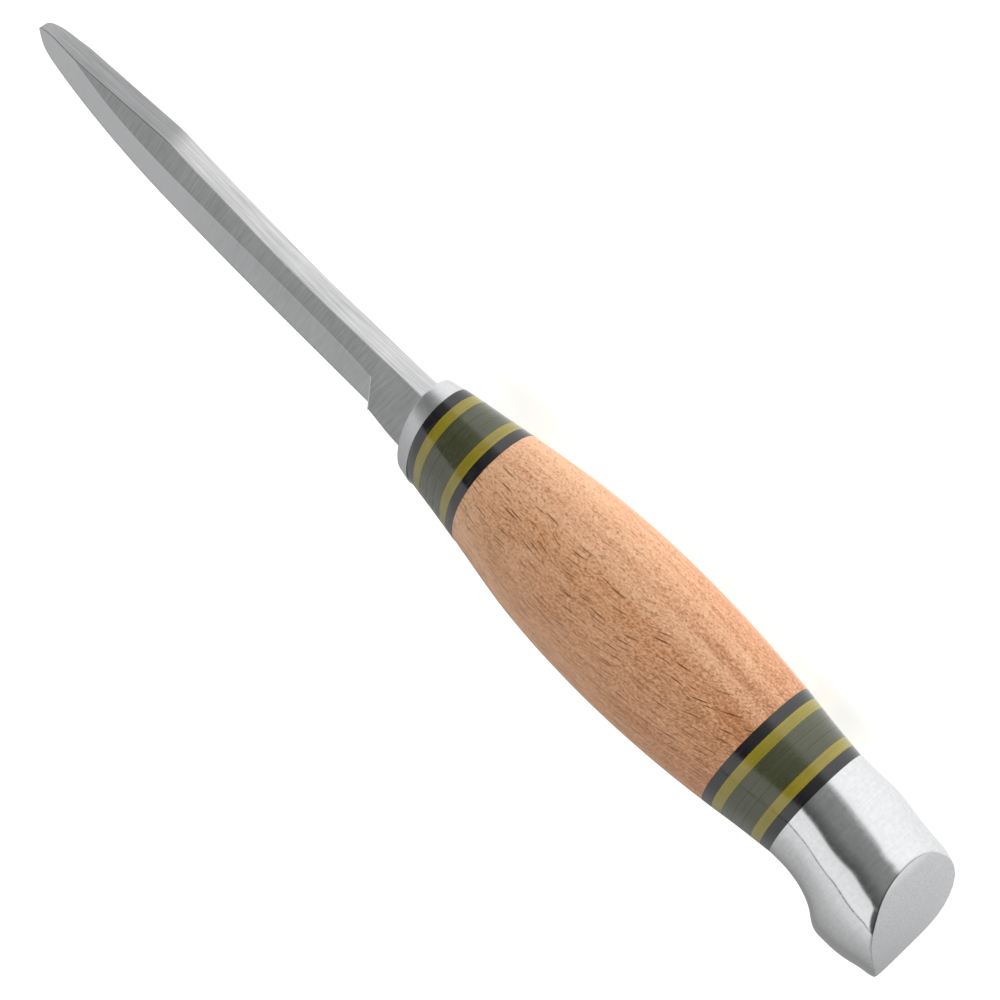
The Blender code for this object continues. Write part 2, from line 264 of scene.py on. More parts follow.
# %% Colour and node helpers


def linear(hex_text):
    """Linear RGBA of an sRGB hex colour."""
    parts = [int(hex_text[k:k + 2], 16) / 255 for k in (1, 3, 5)]
    return tuple(p / 12.92 if p <= 0.04045 else ((p + 0.055) / 1.055) ** 2.4 for p in parts) + (1.0,)


def grey(value):
    """A light level as a colour."""
    return (value, value, value, 1.0)


def add(tree, kind, inputs=None, stops=(), **settings):
    """Add one node. Inputs are values or other nodes' sockets, stops fill a colour ramp, ends first."""
    made = tree.nodes.new(kind)
    for name, value in settings.items():
        setattr(made, name, value)
    for name, value in (inputs or {}).items():
        if isinstance(value, bpy.types.NodeSocket):
            tree.links.new(value, made.inputs[name])
        else:
            made.inputs[name].default_value = value
    for k, (position, colour) in enumerate(stops):
        ramp = made.color_ramp.elements
        element = ramp[k] if k < 2 else ramp.new(position)
        element.position = position
        element.color = colour
    return made


def new_material(name):
    """A material with its node tree and its shader."""
    material = bpy.data.materials.new(name)
    material.use_nodes = True
    return material, material.node_tree, material.node_tree.nodes["Principled BSDF"]


def millimetres(tree):
    """The piece's own coordinates in millimetres."""
    place = add(tree, "ShaderNodeTexCoord").outputs["Object"]
    return add(tree, "ShaderNodeVectorMath", {0: place, "Scale": 1 / MM}, operation="SCALE").outputs[0]


print("middle grey #808080 is", round(linear("#808080")[0], 3), "in linear light")

# %% [markdown]
# ## Beech
# The grip is steamed beech, turned, sanded and lightly oiled. Beech shows three things: wide medullary
# rays, which a face cut across them shows as short dark dashes along the grain, fine pores, and faint
# growth rings. All of them follow the tree, not the knife. So the pattern is laid in the wood's own
# directions: along the grain, round the tree and outward from its middle, and the turned surface cuts it.
# A flat picture wrapped round the grip could not do that. The grain bends a little and wanders.

# %% Wood grain
WOOD_TURN = math.radians(-25)  # how the blank lies, turned about the knife's length
GRAIN_BEND = 0.0022  # millimetres sideways for each square millimetre from the grip's front
WANDER_WIDTH = 2.0
WANDER_LENGTH = 10.0


def wood_grain(tree):
    """Distance from the grip's front, and the place in the wood: along, round the tree and outward."""
    place = millimetres(tree)
    turned = add(tree, "ShaderNodeVectorRotate", {"Vector": place, "Angle": WOOD_TURN},
                 rotation_type="X_AXIS").outputs[0]
    lengthwise, tangent, radial = add(tree, "ShaderNodeSeparateXYZ", {0: turned}).outputs
    from_front = add(tree, "ShaderNodeMath", {0: lengthwise, 1: AXIS.x / MM},
                     operation="SUBTRACT").outputs[0]
    squared = add(tree, "ShaderNodeMath", {0: from_front, 1: 2.0}, operation="POWER").outputs[0]
    sway = add(tree, "ShaderNodeMath", {0: squared, 1: GRAIN_BEND, 2: tangent},
               operation="MULTIPLY_ADD").outputs[0]
    wander = add(tree, "ShaderNodeTexNoise",
                 {"Vector": place, "Scale": 1 / WANDER_LENGTH, "Detail": 1.0}).outputs[0]
    sway = add(tree, "ShaderNodeMath", {0: wander, 1: WANDER_WIDTH, 2: sway},
               operation="MULTIPLY_ADD").outputs[0]
    grain = add(tree, "ShaderNodeCombineXYZ", {0: lengthwise, 1: sway, 2: radial}).outputs[0]
    return from_front, grain


print("grain bends", round(GRAIN_BEND * GRIP_BACK**2, 1), "mm over the grip")

# %% [markdown]
# The rays are thin sheets that run from the middle of the tree outwards. One cell of a Voronoi pattern
# holds one ray, spread out by real spacings, and each ray is a slim leaf shape of its own size. The pattern
# doesn't change outward. The dashes show where the surface faces outward and fade where it turns away.

# %% Rays
RAY_STEP_LENGTH = 5.0
RAY_STEP_WIDTH = 1.05
RAY_HALF_LENGTH = 1.9
RAY_HALF_WIDTH = 0.1
RAY_SIZES = (0.4, 1.05)  # the smallest and the largest ray, as shares of those half sizes
RAY_RIM = (-0.15, 0.55)  # a ray's colour starts a little outside its outline and fills up inside
RAYS_SHOW = (0.45, 0.7)  # how far the surface faces outward where the rays start to show and show fully


def beech_rays(tree, grain):
    """How dark a ray is at each place, from 0 to 1."""
    facing = add(tree, "ShaderNodeNewGeometry").outputs["Normal"]
    outward = (0.0, math.sin(WOOD_TURN), math.cos(WOOD_TURN))
    facing = add(tree, "ShaderNodeVectorMath", {0: facing, 1: outward},
                 operation="DOT_PRODUCT").outputs["Value"]
    facing = add(tree, "ShaderNodeMath", {0: facing}, operation="ABSOLUTE").outputs[0]
    showing = add(tree, "ShaderNodeMapRange", {0: facing, 1: RAYS_SHOW[0], 2: RAYS_SHOW[1]},
                  interpolation_type="SMOOTHSTEP").outputs[0]
    per_mm = (1 / RAY_STEP_LENGTH, 1 / RAY_STEP_WIDTH, 0.0)
    place = add(tree, "ShaderNodeVectorMath", {0: grain, 1: per_mm}, operation="MULTIPLY").outputs[0]
    rays = add(tree, "ShaderNodeTexVoronoi", {"Vector": place, "Scale": 1.0}, voronoi_dimensions="2D")
    chance = add(tree, "ShaderNodeSeparateColor", {0: rays.outputs["Color"]}).outputs[0]
    size = add(tree, "ShaderNodeMapRange", {0: chance, 3: RAY_SIZES[0], 4: RAY_SIZES[1]}).outputs[0]
    offset = add(tree, "ShaderNodeVectorMath", {0: place, 1: rays.outputs["Position"]},
                 operation="SUBTRACT").outputs[0]
    stretch = (RAY_STEP_LENGTH / RAY_HALF_LENGTH, RAY_STEP_WIDTH / RAY_HALF_WIDTH, 0.0)
    offset = add(tree, "ShaderNodeVectorMath", {0: offset, 1: stretch}, operation="MULTIPLY").outputs[0]
    offset = add(tree, "ShaderNodeVectorMath", {0: offset}, operation="ABSOLUTE").outputs[0]
    ray_axes = add(tree, "ShaderNodeSeparateXYZ", {0: offset}).outputs
    leaf = add(tree, "ShaderNodeMath", {0: ray_axes[0], 1: ray_axes[0], 2: ray_axes[1]},
               operation="MULTIPLY_ADD").outputs[0]
    inside = add(tree, "ShaderNodeMath", {0: size, 1: leaf}, operation="SUBTRACT").outputs[0]
    dash = add(tree, "ShaderNodeMapRange", {0: inside, 1: RAY_RIM[0], 2: RAY_RIM[1]},
               interpolation_type="SMOOTHSTEP").outputs[0]
    return add(tree, "ShaderNodeMath", {0: dash, 1: showing}, operation="MULTIPLY").outputs[0]


print("rays up to", round(2 * RAY_HALF_LENGTH * RAY_SIZES[1], 2), "mm long")

# %% [markdown]
# Beech has pores of less than a tenth of a millimetre. The render can't show them, so they are drawn a few
# times coarser, as the speckle that the eye makes of them, with single larger pits where sanding opened one.

# %% Pores
PORE_LENGTH = 0.6
PORE_WIDTH = 0.24
PORE_NOISE = (0.58, 0.76)  # noise values at which a pore starts and is full
PORE_DARK = 0.8
PIT_STEPS = (1.5, 0.8, 0.8)  # spacing along, round the tree and outward
PIT_MISSING = 0.3  # this share of the places has no pit
PIT_REACH = 0.2
PIT_RIM = (-0.04, 0.06)
PIT_DARK = 0.75


def beech_pores(tree, grain):
    """How dark a pore or a pit is at each place, from 0 to 1."""
    per_mm = (1 / PORE_LENGTH, 1 / PORE_WIDTH, 1 / PORE_WIDTH)
    place = add(tree, "ShaderNodeVectorMath", {0: grain, 1: per_mm}, operation="MULTIPLY").outputs[0]
    speckle = add(tree, "ShaderNodeTexNoise", {"Vector": place, "Scale": 1.0, "Detail": 1.0}).outputs[0]
    pores = add(tree, "ShaderNodeMapRange",
                {0: speckle, 1: PORE_NOISE[0], 2: PORE_NOISE[1], 4: PORE_DARK}).outputs[0]
    place = add(tree, "ShaderNodeVectorMath", {0: grain, 1: PIT_STEPS}, operation="DIVIDE").outputs[0]
    pits = add(tree, "ShaderNodeTexVoronoi", {"Vector": place, "Scale": 1.0})
    chance = add(tree, "ShaderNodeSeparateColor", {0: pits.outputs["Color"]}).outputs[0]
    reach = add(tree, "ShaderNodeMapRange", {0: chance, 1: PIT_MISSING, 4: PIT_REACH}).outputs[0]
    pit = add(tree, "ShaderNodeMath", {0: reach, 1: pits.outputs["Distance"]},
              operation="SUBTRACT").outputs[0]
    pit = add(tree, "ShaderNodeMapRange", {0: pit, 1: PIT_RIM[0], 2: PIT_RIM[1], 4: PIT_DARK}).outputs[0]
    return add(tree, "ShaderNodeMath", {0: pores, 1: pit}, operation="MAXIMUM").outputs[0]


print("pores", PORE_LENGTH, "by", PORE_WIDTH, "mm, pits every", PIT_STEPS[0], "mm along the grain")

# %% [markdown]
# Under rays and pores the wood itself is paler and darker: in slow bands where the growth rings are cut, in
# streaks along the fibres, and in a grain that sanding leaves. Three noises of real sizes are added up, and
# the sum picks a colour. The fibres also make the sheen uneven.

# %% Wood tone
RING_WIDTH = 2.6
# Each pattern: how many to the millimetre along, round the tree and outward, then the noise's detail and
# roughness, and the pattern's weight in the tone.
WOOD_PATTERNS = {
    "growth_rings": ((0.012, 0.05, 1 / RING_WIDTH), 3.0, 0.5, 0.38),
    "fibres": ((0.11, 2.6, 2.6), 4.0, 0.65, 0.35),
    "sanded_grain": ((2.0, 4.5, 4.5), 2.0, 0.5, 0.5),
}
TONE_BACK, TONE_FRONT = -0.15, -0.06  # the back end of the grip is a little darker than the front


def wood_tone(tree, grain, from_front):
    """Dark to pale wood as one value, and the fibres alone."""
    tone = add(tree, "ShaderNodeMapRange",
               {0: from_front, 1: GRIP_BACK, 2: GRIP_FRONT, 3: TONE_BACK, 4: TONE_FRONT}).outputs[0]
    drawn = {}
    for name, (per_mm, detail, roughness, weight) in WOOD_PATTERNS.items():
        place = add(tree, "ShaderNodeVectorMath", {0: grain, 1: per_mm}, operation="MULTIPLY").outputs[0]
        drawn[name] = add(tree, "ShaderNodeTexNoise", {
            "Vector": place, "Scale": 1.0, "Detail": detail, "Roughness": roughness}).outputs[0]
        tone = add(tree, "ShaderNodeMath", {0: drawn[name], 1: weight, 2: tone},
                   operation="MULTIPLY_ADD").outputs[0]
    return tone, drawn["fibres"]


print("wood patterns:", list(WOOD_PATTERNS))

# %% [markdown]
# Now the patterns are laid over one another: pores darken the wood, and rays lie on top. Both are also a
# little hollow, since the sanded surface sinks in there. Oil fills the wood and leaves a thin soft coat.

# %% Beech material
WOOD_COLOURS = ((0.38, "#BE7B4B"), (0.62, "#FAC99F"), (0.5, "#EBAD7E"))
PORE_COLOUR = "#9C5F31"
RAY_COLOUR = "#763A12"
PORE_DEPTH = 0.6  # against a ray's depth
WOOD_RELIEF = 0.06
WOOD_BUMP = 0.2
FIBRE_NOISE = (0.3, 0.7)
OILED_ROUGHNESS = (0.38, 0.52)
OIL_WEIGHT, OIL_ROUGHNESS = 0.3, 0.35


def beech():
    # Steamed beech is a warm, pinkish brown with dark dashes. The oil gives it a wide, soft sheen, and
    # rays and pores are slightly hollow.
    material, tree, shader = new_material("steamed_beech_oiled")
    from_front, grain = wood_grain(tree)
    rays = beech_rays(tree, grain)
    pores = beech_pores(tree, grain)
    tone, fibres = wood_tone(tree, grain, from_front)
    base = add(tree, "ShaderNodeValToRGB", {0: tone},
               stops=[(place, linear(colour)) for place, colour in WOOD_COLOURS]).outputs[0]
    for pattern, colour in ((pores, PORE_COLOUR), (rays, RAY_COLOUR)):
        base = add(tree, "ShaderNodeMix", {0: pattern, 6: base, 7: linear(colour)},
                   data_type="RGBA").outputs[2]
    tree.links.new(base, shader.inputs["Base Color"])
    hollow = add(tree, "ShaderNodeMath", {0: pores, 1: PORE_DEPTH, 2: rays},
                 operation="MULTIPLY_ADD").outputs[0]
    bump = add(tree, "ShaderNodeBump",
               {"Strength": WOOD_BUMP, "Distance": WOOD_RELIEF * MM, "Height": hollow}, invert=True)
    tree.links.new(bump.outputs[0], shader.inputs["Normal"])
    gloss = add(tree, "ShaderNodeMapRange", {0: fibres, 1: FIBRE_NOISE[0], 2: FIBRE_NOISE[1],
                                             3: OILED_ROUGHNESS[0], 4: OILED_ROUGHNESS[1]}).outputs[0]
    tree.links.new(gloss, shader.inputs["Roughness"])
    shader.inputs["Coat Weight"].default_value = OIL_WEIGHT
    shader.inputs["Coat Roughness"].default_value = OIL_ROUGHNESS
    return material


BEECH = beech()
print("material:", BEECH.name)

# %% [markdown]
# ## Grip
# The grip is a barrel that a palm closes on. Its skin is a loft through the sections. Hand sanding leaves it
# wavy by a few hundredths of a millimetre, and since sanding only takes wood away, so does the wave here.
# The front half is slotted for the tang, the back half is bored for the stud, and a short wider chamber
# joins slot and bore.

# %% Grip
GRIP_RINGS = 110
SANDING_WAVE = 0.03
SANDING_LENGTH = 14.0
SLOT_END = -36.5
CHAMBER_LENGTH = 0.6
CHAMBER_ROOM = 0.2  # the chamber is this much wider than slot and bore, on each side


def wavy(ring, height, length):
    """Take a little off a ring's points by a soft noise, toward the handle's axis."""
    moved = ring.copy()
    for spot in moved:
        taken = (1 - noise.noise(Vector(spot) / length)) * height
        radius = math.hypot(spot[1], spot[2])
        spot[1:] *= 1 - taken / radius
    return moved


grip_places = np.linspace(GRIP_BACK, GRIP_FRONT, GRIP_RINGS)
skin = [wavy(handle_ring(x), SANDING_WAVE, SANDING_LENGTH) for x in grip_places]
chamber_back = SLOT_END - CHAMBER_LENGTH
chamber_size = (STUD_HOLE + CHAMBER_ROOM, TANG_SLOT_HEIGHT / 2 + CHAMBER_ROOM)
bore = [slot_ring(GRIP_FRONT), slot_ring(SLOT_END)]
bore += [oval(SLOT_END, *chamber_size), oval(chamber_back, *chamber_size)]
bore += [hole_ring(chamber_back), hole_ring(GRIP_BACK)]
grip = sleeve("beech_grip", "grip", skin + bore)
grip.data.materials.append(BEECH)
print(grip.name, len(grip.data.polygons), "faces")

# %% [markdown]
# ## Vulcanised fibre
# The coloured spacers are vulcanised fibre: paper layers pressed to a hard sheet. Cut across, the layers
# show as faint lines round each spacer. Sanded and buffed with the handle, the fibre is half glossy, with
# small scuffs. Three colours share one recipe. A real layer is a tenth of a millimetre or less, too fine for
# the render, so the layers are drawn about three times as wide.

# %% Fibre materials
LAYER_WIDTH = 0.3
LAYERS_PER_MM = (1 / LAYER_WIDTH, 0.03, 0.03)
LAYER_WEIGHT = 0.6
MOTTLE_PER_MM = 0.35
MOTTLE_WEIGHT = 0.4
MIDDLE_NOISE = (0.35, 0.65)  # most of a noise lies between these values
SCUFF_STEPS = (0.5, 2.0, 2.0)
SCUFF_NOISE = (0.4, 0.62)
FIBRE_ROUGHNESS = (0.09, 0.3)
FIBRE_SPECULAR = 0.9
BUFFING_WEIGHT, BUFFING_ROUGHNESS = 0.3, 0.15
LAYER_BUMP, LAYER_RELIEF = 0.15, 0.02


def fibre(colour_name, deep, pale):
    # Dense and hard, so it takes a polish: deep colour under a bright, narrow sheen that scuffs break up.
    material, tree, shader = new_material("vulcanised_fibre_" + colour_name)
    shader.inputs["Specular IOR Level"].default_value = FIBRE_SPECULAR
    shader.inputs["Coat Weight"].default_value = BUFFING_WEIGHT
    shader.inputs["Coat Roughness"].default_value = BUFFING_ROUGHNESS
    place = millimetres(tree)
    layer_place = add(tree, "ShaderNodeVectorMath", {0: place, 1: LAYERS_PER_MM},
                      operation="MULTIPLY").outputs[0]
    layers = add(tree, "ShaderNodeTexNoise", {"Vector": layer_place, "Scale": 1.0, "Detail": 2.0}).outputs[0]
    mottle = add(tree, "ShaderNodeTexNoise",
                 {"Vector": place, "Scale": MOTTLE_PER_MM, "Detail": 4.0}).outputs[0]
    tone = add(tree, "ShaderNodeMath", {0: layers, 1: LAYER_WEIGHT}, operation="MULTIPLY").outputs[0]
    tone = add(tree, "ShaderNodeMath", {0: mottle, 1: MOTTLE_WEIGHT, 2: tone},
               operation="MULTIPLY_ADD").outputs[0]
    base = add(tree, "ShaderNodeValToRGB", {0: tone}, stops=zip(MIDDLE_NOISE, (linear(deep), linear(pale))))
    tree.links.new(base.outputs[0], shader.inputs["Base Color"])
    scuff_place = add(tree, "ShaderNodeVectorMath", {0: place, 1: SCUFF_STEPS},
                      operation="DIVIDE").outputs[0]
    scuffs = add(tree, "ShaderNodeTexNoise",
                 {"Vector": scuff_place, "Scale": 1.0, "Detail": 3.0, "Roughness": 0.7}).outputs[0]
    gloss = add(tree, "ShaderNodeMapRange", {0: scuffs, 1: SCUFF_NOISE[0], 2: SCUFF_NOISE[1],
                                             3: FIBRE_ROUGHNESS[0], 4: FIBRE_ROUGHNESS[1]}).outputs[0]
    tree.links.new(gloss, shader.inputs["Roughness"])
    bump = add(tree, "ShaderNodeBump",
               {"Strength": LAYER_BUMP, "Distance": LAYER_RELIEF * MM, "Height": layers})
    tree.links.new(bump.outputs[0], shader.inputs["Normal"])
    return material


FIBRES = {
    "black": fibre("black", "#0E0E12", "#17171C"),
    "olive": fibre("olive", "#938514", "#A4961D"),
    "green": fibre("green", "#424529", "#4E5236"),
}
print("fibre colours:", list(FIBRES))

# %% [markdown]
# ## Spacers
# Two packs of spacers sit on the tang, one behind the bolster and one before the pommel. They were glued
# up with the grip and sanded flush, so their outline is the handle's own. A very small round on each rim
# lets the glue lines show as fine dark lines, as they do on the real handle. A little under the rim a bead
# of glue closes the gap, so that no light shines through it.

# %% Spacers
RIM = 0.012
GLUE_DEPTH = 0.3
GLUE_LINE = BOLSTER_BACK - along("spacer_front_1_black")[1]
BEAD = 0.96 * GLUE_LINE  # the bead all but reaches the next piece


def spacer_rings(back, front, hole, last_of_pack):
    """Rings from the back bead over the rim to the front bead, and back through the hole."""
    bead_back, bead_front = back - BEAD * last_of_pack, front + BEAD
    inset_rim = GLUE_DEPTH - RIM
    outside = [handle_ring(bead_back, GLUE_DEPTH), handle_ring(back, inset_rim), handle_ring(back, RIM)]
    outside += [handle_ring(back + RIM), handle_ring((back + front) / 2), handle_ring(front - RIM)]
    outside += [handle_ring(front, RIM), handle_ring(front, inset_rim), handle_ring(bead_front, GLUE_DEPTH)]
    return outside + [hole(bead_front), hole(bead_back)]


spacers = []
for node in sorted(frame["nodes"]):
    if not node.startswith("spacer"):
        continue
    colour = node.split("_")[-1]
    back, front = along(node)
    hole = slot_ring if "front" in node else hole_ring
    last_of_pack = min(abs(back - GRIP_FRONT), abs(back - POMMEL_FRONT)) < 2 * GLUE_LINE
    spacer = sleeve("fibre_" + node, node, spacer_rings(back, front, hole, last_of_pack))
    spacer.data.materials.append(FIBRES[colour])
    spacers.append(spacer)
print("spacers:", len(spacers), "glue line", round(GLUE_LINE, 3), "mm")

# %% [markdown]
# ## Aluminium
# Bolster and pommel are cast aluminium. Their sides were buffed with a soft wheel: satin, with fine marks
# round the handle and slow waves that bend reflections. The butt was ground on a finer flat belt, which
# leaves it duller and even. A dark grey line of painted shade runs along the crease between the two. A metal
# has no colour of its own beyond its reflection, so the finish lives in roughness and bump. Buff marks are
# far finer than the render can show, so they are drawn coarser. Two values stored on the mesh say where the
# metal is ground and where the crease's painted shade lies.

# %% Aluminium material
BUFF_MARK = 0.35
MARKS_PER_MM = (1 / BUFF_MARK, 0.3, 0.3)
MARK_WEIGHT = 0.4
CLOUD_PER_MM = 1.2
CLOUD_WEIGHT = 0.6
BELT_GRIT_PER_MM = 4.0
BUFFED_COLOURS = ("#E9EAEB", "#F6F7F8")
GROUND_COLOURS = ("#DCDDDE", "#EEEFF0")
CREASE_SHADE_COLOUR = "#4A4B4C"
BUFFED_ROUGHNESS = (0.06, 0.16)
GROUND_ROUGHNESS = 0.62
MARK_BUMP, MARK_RELIEF = 0.05, 0.02
GROUND_SHARE = "ground_share"
CREASE_SHADE = "painted_crease_shade"


def aluminium():
    # Nearly white metal: a soft mirror where it is buffed, an even pale grey where it is ground.
    material, tree, shader = new_material("cast_aluminium_buffed_and_ground")
    shader.inputs["Metallic"].default_value = 1.0
    place = millimetres(tree)
    mark_place = add(tree, "ShaderNodeVectorMath", {0: place, 1: MARKS_PER_MM},
                     operation="MULTIPLY").outputs[0]
    marks = add(tree, "ShaderNodeTexNoise", {"Vector": mark_place, "Scale": 1.0, "Detail": 3.0}).outputs[0]
    cloud = add(tree, "ShaderNodeTexNoise",
                {"Vector": place, "Scale": CLOUD_PER_MM, "Detail": 3.0, "Roughness": 0.55}).outputs[0]
    tone = add(tree, "ShaderNodeMath", {0: marks, 1: MARK_WEIGHT}, operation="MULTIPLY").outputs[0]
    tone = add(tree, "ShaderNodeMath", {0: cloud, 1: CLOUD_WEIGHT, 2: tone},
               operation="MULTIPLY_ADD").outputs[0]
    buffed = add(tree, "ShaderNodeValToRGB", {0: tone},
                 stops=zip(MIDDLE_NOISE, map(linear, BUFFED_COLOURS))).outputs[0]
    grit = add(tree, "ShaderNodeTexNoise",
               {"Vector": place, "Scale": BELT_GRIT_PER_MM, "Detail": 4.0}).outputs[0]
    dull = add(tree, "ShaderNodeValToRGB", {0: grit},
               stops=zip(MIDDLE_NOISE, map(linear, GROUND_COLOURS))).outputs[0]
    share = add(tree, "ShaderNodeAttribute", attribute_name=GROUND_SHARE).outputs["Fac"]
    base = add(tree, "ShaderNodeMix", {0: share, 6: buffed, 7: dull}, data_type="RGBA").outputs[2]
    # Painted shade: a dark grey line along the pommel's crease, where the value on the mesh says.
    crease_shade = add(tree, "ShaderNodeAttribute", attribute_name=CREASE_SHADE).outputs["Fac"]
    base = add(tree, "ShaderNodeMix", {0: crease_shade, 6: base, 7: linear(CREASE_SHADE_COLOUR)},
               data_type="RGBA").outputs[2]
    tree.links.new(base, shader.inputs["Base Color"])
    satin = add(tree, "ShaderNodeMapRange", {0: tone, 1: MIDDLE_NOISE[0], 2: MIDDLE_NOISE[1],
                                             3: BUFFED_ROUGHNESS[0], 4: BUFFED_ROUGHNESS[1]}).outputs[0]
    gloss = add(tree, "ShaderNodeMix", {0: share, 2: satin, 3: GROUND_ROUGHNESS}).outputs[0]
    tree.links.new(gloss, shader.inputs["Roughness"])
    bump = add(tree, "ShaderNodeBump",
               {"Strength": MARK_BUMP, "Distance": MARK_RELIEF * MM, "Height": marks})
    tree.links.new(bump.outputs[0], shader.inputs["Normal"])
    return material


ALUMINIUM = aluminium()
print("material:", ALUMINIUM.name)

# %% [markdown]
# ## Bolster
# The bolster is a thick plate with a rounded front rim and a small lip that stands below the first spacer,
# on the edge's side. The rounding is an arc of rings, so the rim catches a soft highlight. The slot is
# tighter at its mouth, where it was filed to fit the blade, so no dark gap shows round the tang. The whole
# bolster is between buffed and ground.

# %% Bolster
BOLSTER_ROUNDING = 0.45
BOLSTER_LIP = 1.0
BOLSTER_GROUND = 0.6
BOLSTER_SIDE = (BOLSTER_BACK + 0.5, BOLSTER_FRONT - 1.0)  # the plain stretch between the rims
BOLSTER_SIDE_RINGS = 4
MOUTH_TIGHTER = 0.25
MOUTH_DEPTH = 0.8
ARC_RINGS = 9
mouth_back = BOLSTER_FRONT - MOUTH_DEPTH
outside = [handle_ring(BOLSTER_BACK, RIM, BOLSTER_LIP), handle_ring(BOLSTER_BACK + RIM, 0.0, BOLSTER_LIP)]
outside += [handle_ring(x, 0.0, BOLSTER_LIP) for x in np.linspace(*BOLSTER_SIDE, BOLSTER_SIDE_RINGS)]
for turn in np.linspace(0, math.pi / 2, ARC_RINGS):
    x = BOLSTER_FRONT - BOLSTER_ROUNDING * (1 - math.sin(turn))
    outside.append(handle_ring(x, BOLSTER_ROUNDING * (1 - math.cos(turn)), BOLSTER_LIP))
slot = [slot_ring(BOLSTER_FRONT, MOUTH_TIGHTER), slot_ring(mouth_back, MOUTH_TIGHTER)]
slot += [slot_ring(mouth_back), slot_ring(BOLSTER_BACK)]
bolster = sleeve("aluminium_bolster", "bolster", outside + slot)
bolster.data.materials.append(ALUMINIUM)
ground_part = bolster.data.attributes.new(GROUND_SHARE, "FLOAT", "POINT")
ground_part.data.foreach_set("value", [BOLSTER_GROUND] * len(bolster.data.vertices))
print(bolster.name, len(bolster.data.polygons), "faces")

# %% [markdown]
# ## Pommel
# The pommel carries on the handle's oval, swells into a beak that stops the hand, and is cut off by a butt
# that is curved from spine to beak and straight from side to side. Its sections change more than the
# handle's, so they have their own table, and crown and beak have an egg shape each, which blend into one
# another on the lower part of the side.

# %% Pommel sections
POMMEL_LENGTH = POMMEL_FRONT - POMMEL_BACK
# Each row: share of the pommel's length from the front, share of the grip's width, rise of top and bottom
# as shares of half the grip's height, egg of the crown and of the beak, squareness of the lower half.
POMMEL_SECTIONS = (
    (0.0, 0.764, 0.779, -0.711, 0.13, 0.13, 2.1),
    (0.15, 0.765, 0.753, -0.747, 0.18, 0.18, 2.1),
    (0.31, 0.782, 0.704, -0.92, 0.27, 0.26, 2.12),
    (0.40, 0.792, 0.667, -1.136, 0.31, 0.30, 2.15),
    (0.48, 0.80, 0.63, -1.457, 0.34, 0.33, 2.2),
    (0.62, 0.795, 0.549, -1.531, 0.38, 0.34, 2.25),
    (0.75, 0.772, 0.506, -1.50, 0.42, 0.345, 2.3),
    (0.88, 0.728, 0.488, -1.44, 0.43, 0.37, 2.3),
    (1.08, 0.69, 0.469, -1.40, 0.43, 0.40, 2.3),
)
POMMEL_SQUARENESS = 2.1
EGG_CHANGE = (-0.75, 0.25)  # the beak's egg ends and the crown's is full at these heights of the oval


def pommel_points(share, turns):
    """Points of the pommel's body at a share of its length, one for each turn round the section."""
    width = smooth(column(POMMEL_SECTIONS, 1), share) * HALF_WIDTH
    top = smooth(column(POMMEL_SECTIONS, 2), share) * HALF_HEIGHT
    bottom = smooth(column(POMMEL_SECTIONS, 3), share) * HALF_HEIGHT
    crown_egg = smooth(column(POMMEL_SECTIONS, 4), share)
    beak_egg = smooth(column(POMMEL_SECTIONS, 5), share)
    x = POMMEL_FRONT - share * POMMEL_LENGTH
    lower = smooth(column(POMMEL_SECTIONS, 6), share)
    squareness = np.where(np.sin(turns) < 0, lower, POMMEL_SQUARENESS)
    upward = np.sign(np.sin(turns)) * np.abs(np.sin(turns)) ** (2 / squareness)
    blend = np.clip((upward - EGG_CHANGE[0]) / (EGG_CHANGE[1] - EGG_CHANGE[0]), 0.0, 1.0)
    egg = beak_egg + (crown_egg - beak_egg) * blend * blend * (3 - 2 * blend)
    return oval(x, width, (top - bottom) / 2, (top + bottom) / 2, squareness, egg, turns)


print("pommel", round(POMMEL_LENGTH, 2), "mm long")

# %% [markdown]
# A Boolean would cut the butt, but the crease between body and butt is what the eye reads. So each line
# along the body is followed to the point where it meets the butt, and the last ring lies on the crease.

# %% Crease of the butt
# Each point: share of the pommel's length, rise as a share of half the grip's height.
BUTT_LINE = ((0.52, 0.895), (0.702, 0.488), (0.782, 0.296), (0.855, 0.062), (0.932, -0.228),
             (0.987, -0.574), (0.9995, -0.833), (0.994, -1.049), (0.975, -1.215))
BEAK_CORNER = (0.48, -1.389)
BUTT_SAMPLES = 300
BUTT_BY_RISE = sorted((rise, share) for share, rise in BUTT_LINE)
BUTT_LEVELS = np.linspace(BUTT_BY_RISE[0][0], BUTT_BY_RISE[-1][0], BUTT_SAMPLES)
BUTT_SHARES = np.array([smooth(BUTT_BY_RISE, level) for level in BUTT_LEVELS])
SEARCH_STEPS = np.linspace(0.3, 1.06, 400)  # shares that are tried, from before the beak to past the end


def crease_shares(turns):
    """Share of the pommel's length at which each line along the body meets the cut."""
    past_cut = []
    for share in SEARCH_STEPS:
        level = pommel_points(share, turns)[:, 1] / HALF_HEIGHT
        under = np.interp(share, (BEAK_CORNER[0], BUTT_LINE[-1][0]), (BEAK_CORNER[1], BUTT_LINE[-1][1]))
        past_cut.append(np.maximum(share - np.interp(level, BUTT_LEVELS, BUTT_SHARES), under - level))
    past_cut = np.array(past_cut)
    first = np.argmax(past_cut > 0, axis=0)
    rows = np.arange(len(turns))
    before, after = past_cut[first - 1, rows], past_cut[first, rows]
    return SEARCH_STEPS[first - 1] + (SEARCH_STEPS[1] - SEARCH_STEPS[0]) * before / (before - after)


print("butt from rise", BUTT_LINE[0][1], "to", BEAK_CORNER[1], "times half the grip's height")

# %% [markdown]
# Equal turns would crowd the points on the sides and leave the beak with few. So the crease is walked in
# fine steps first, and the points are then set at even distances along it.

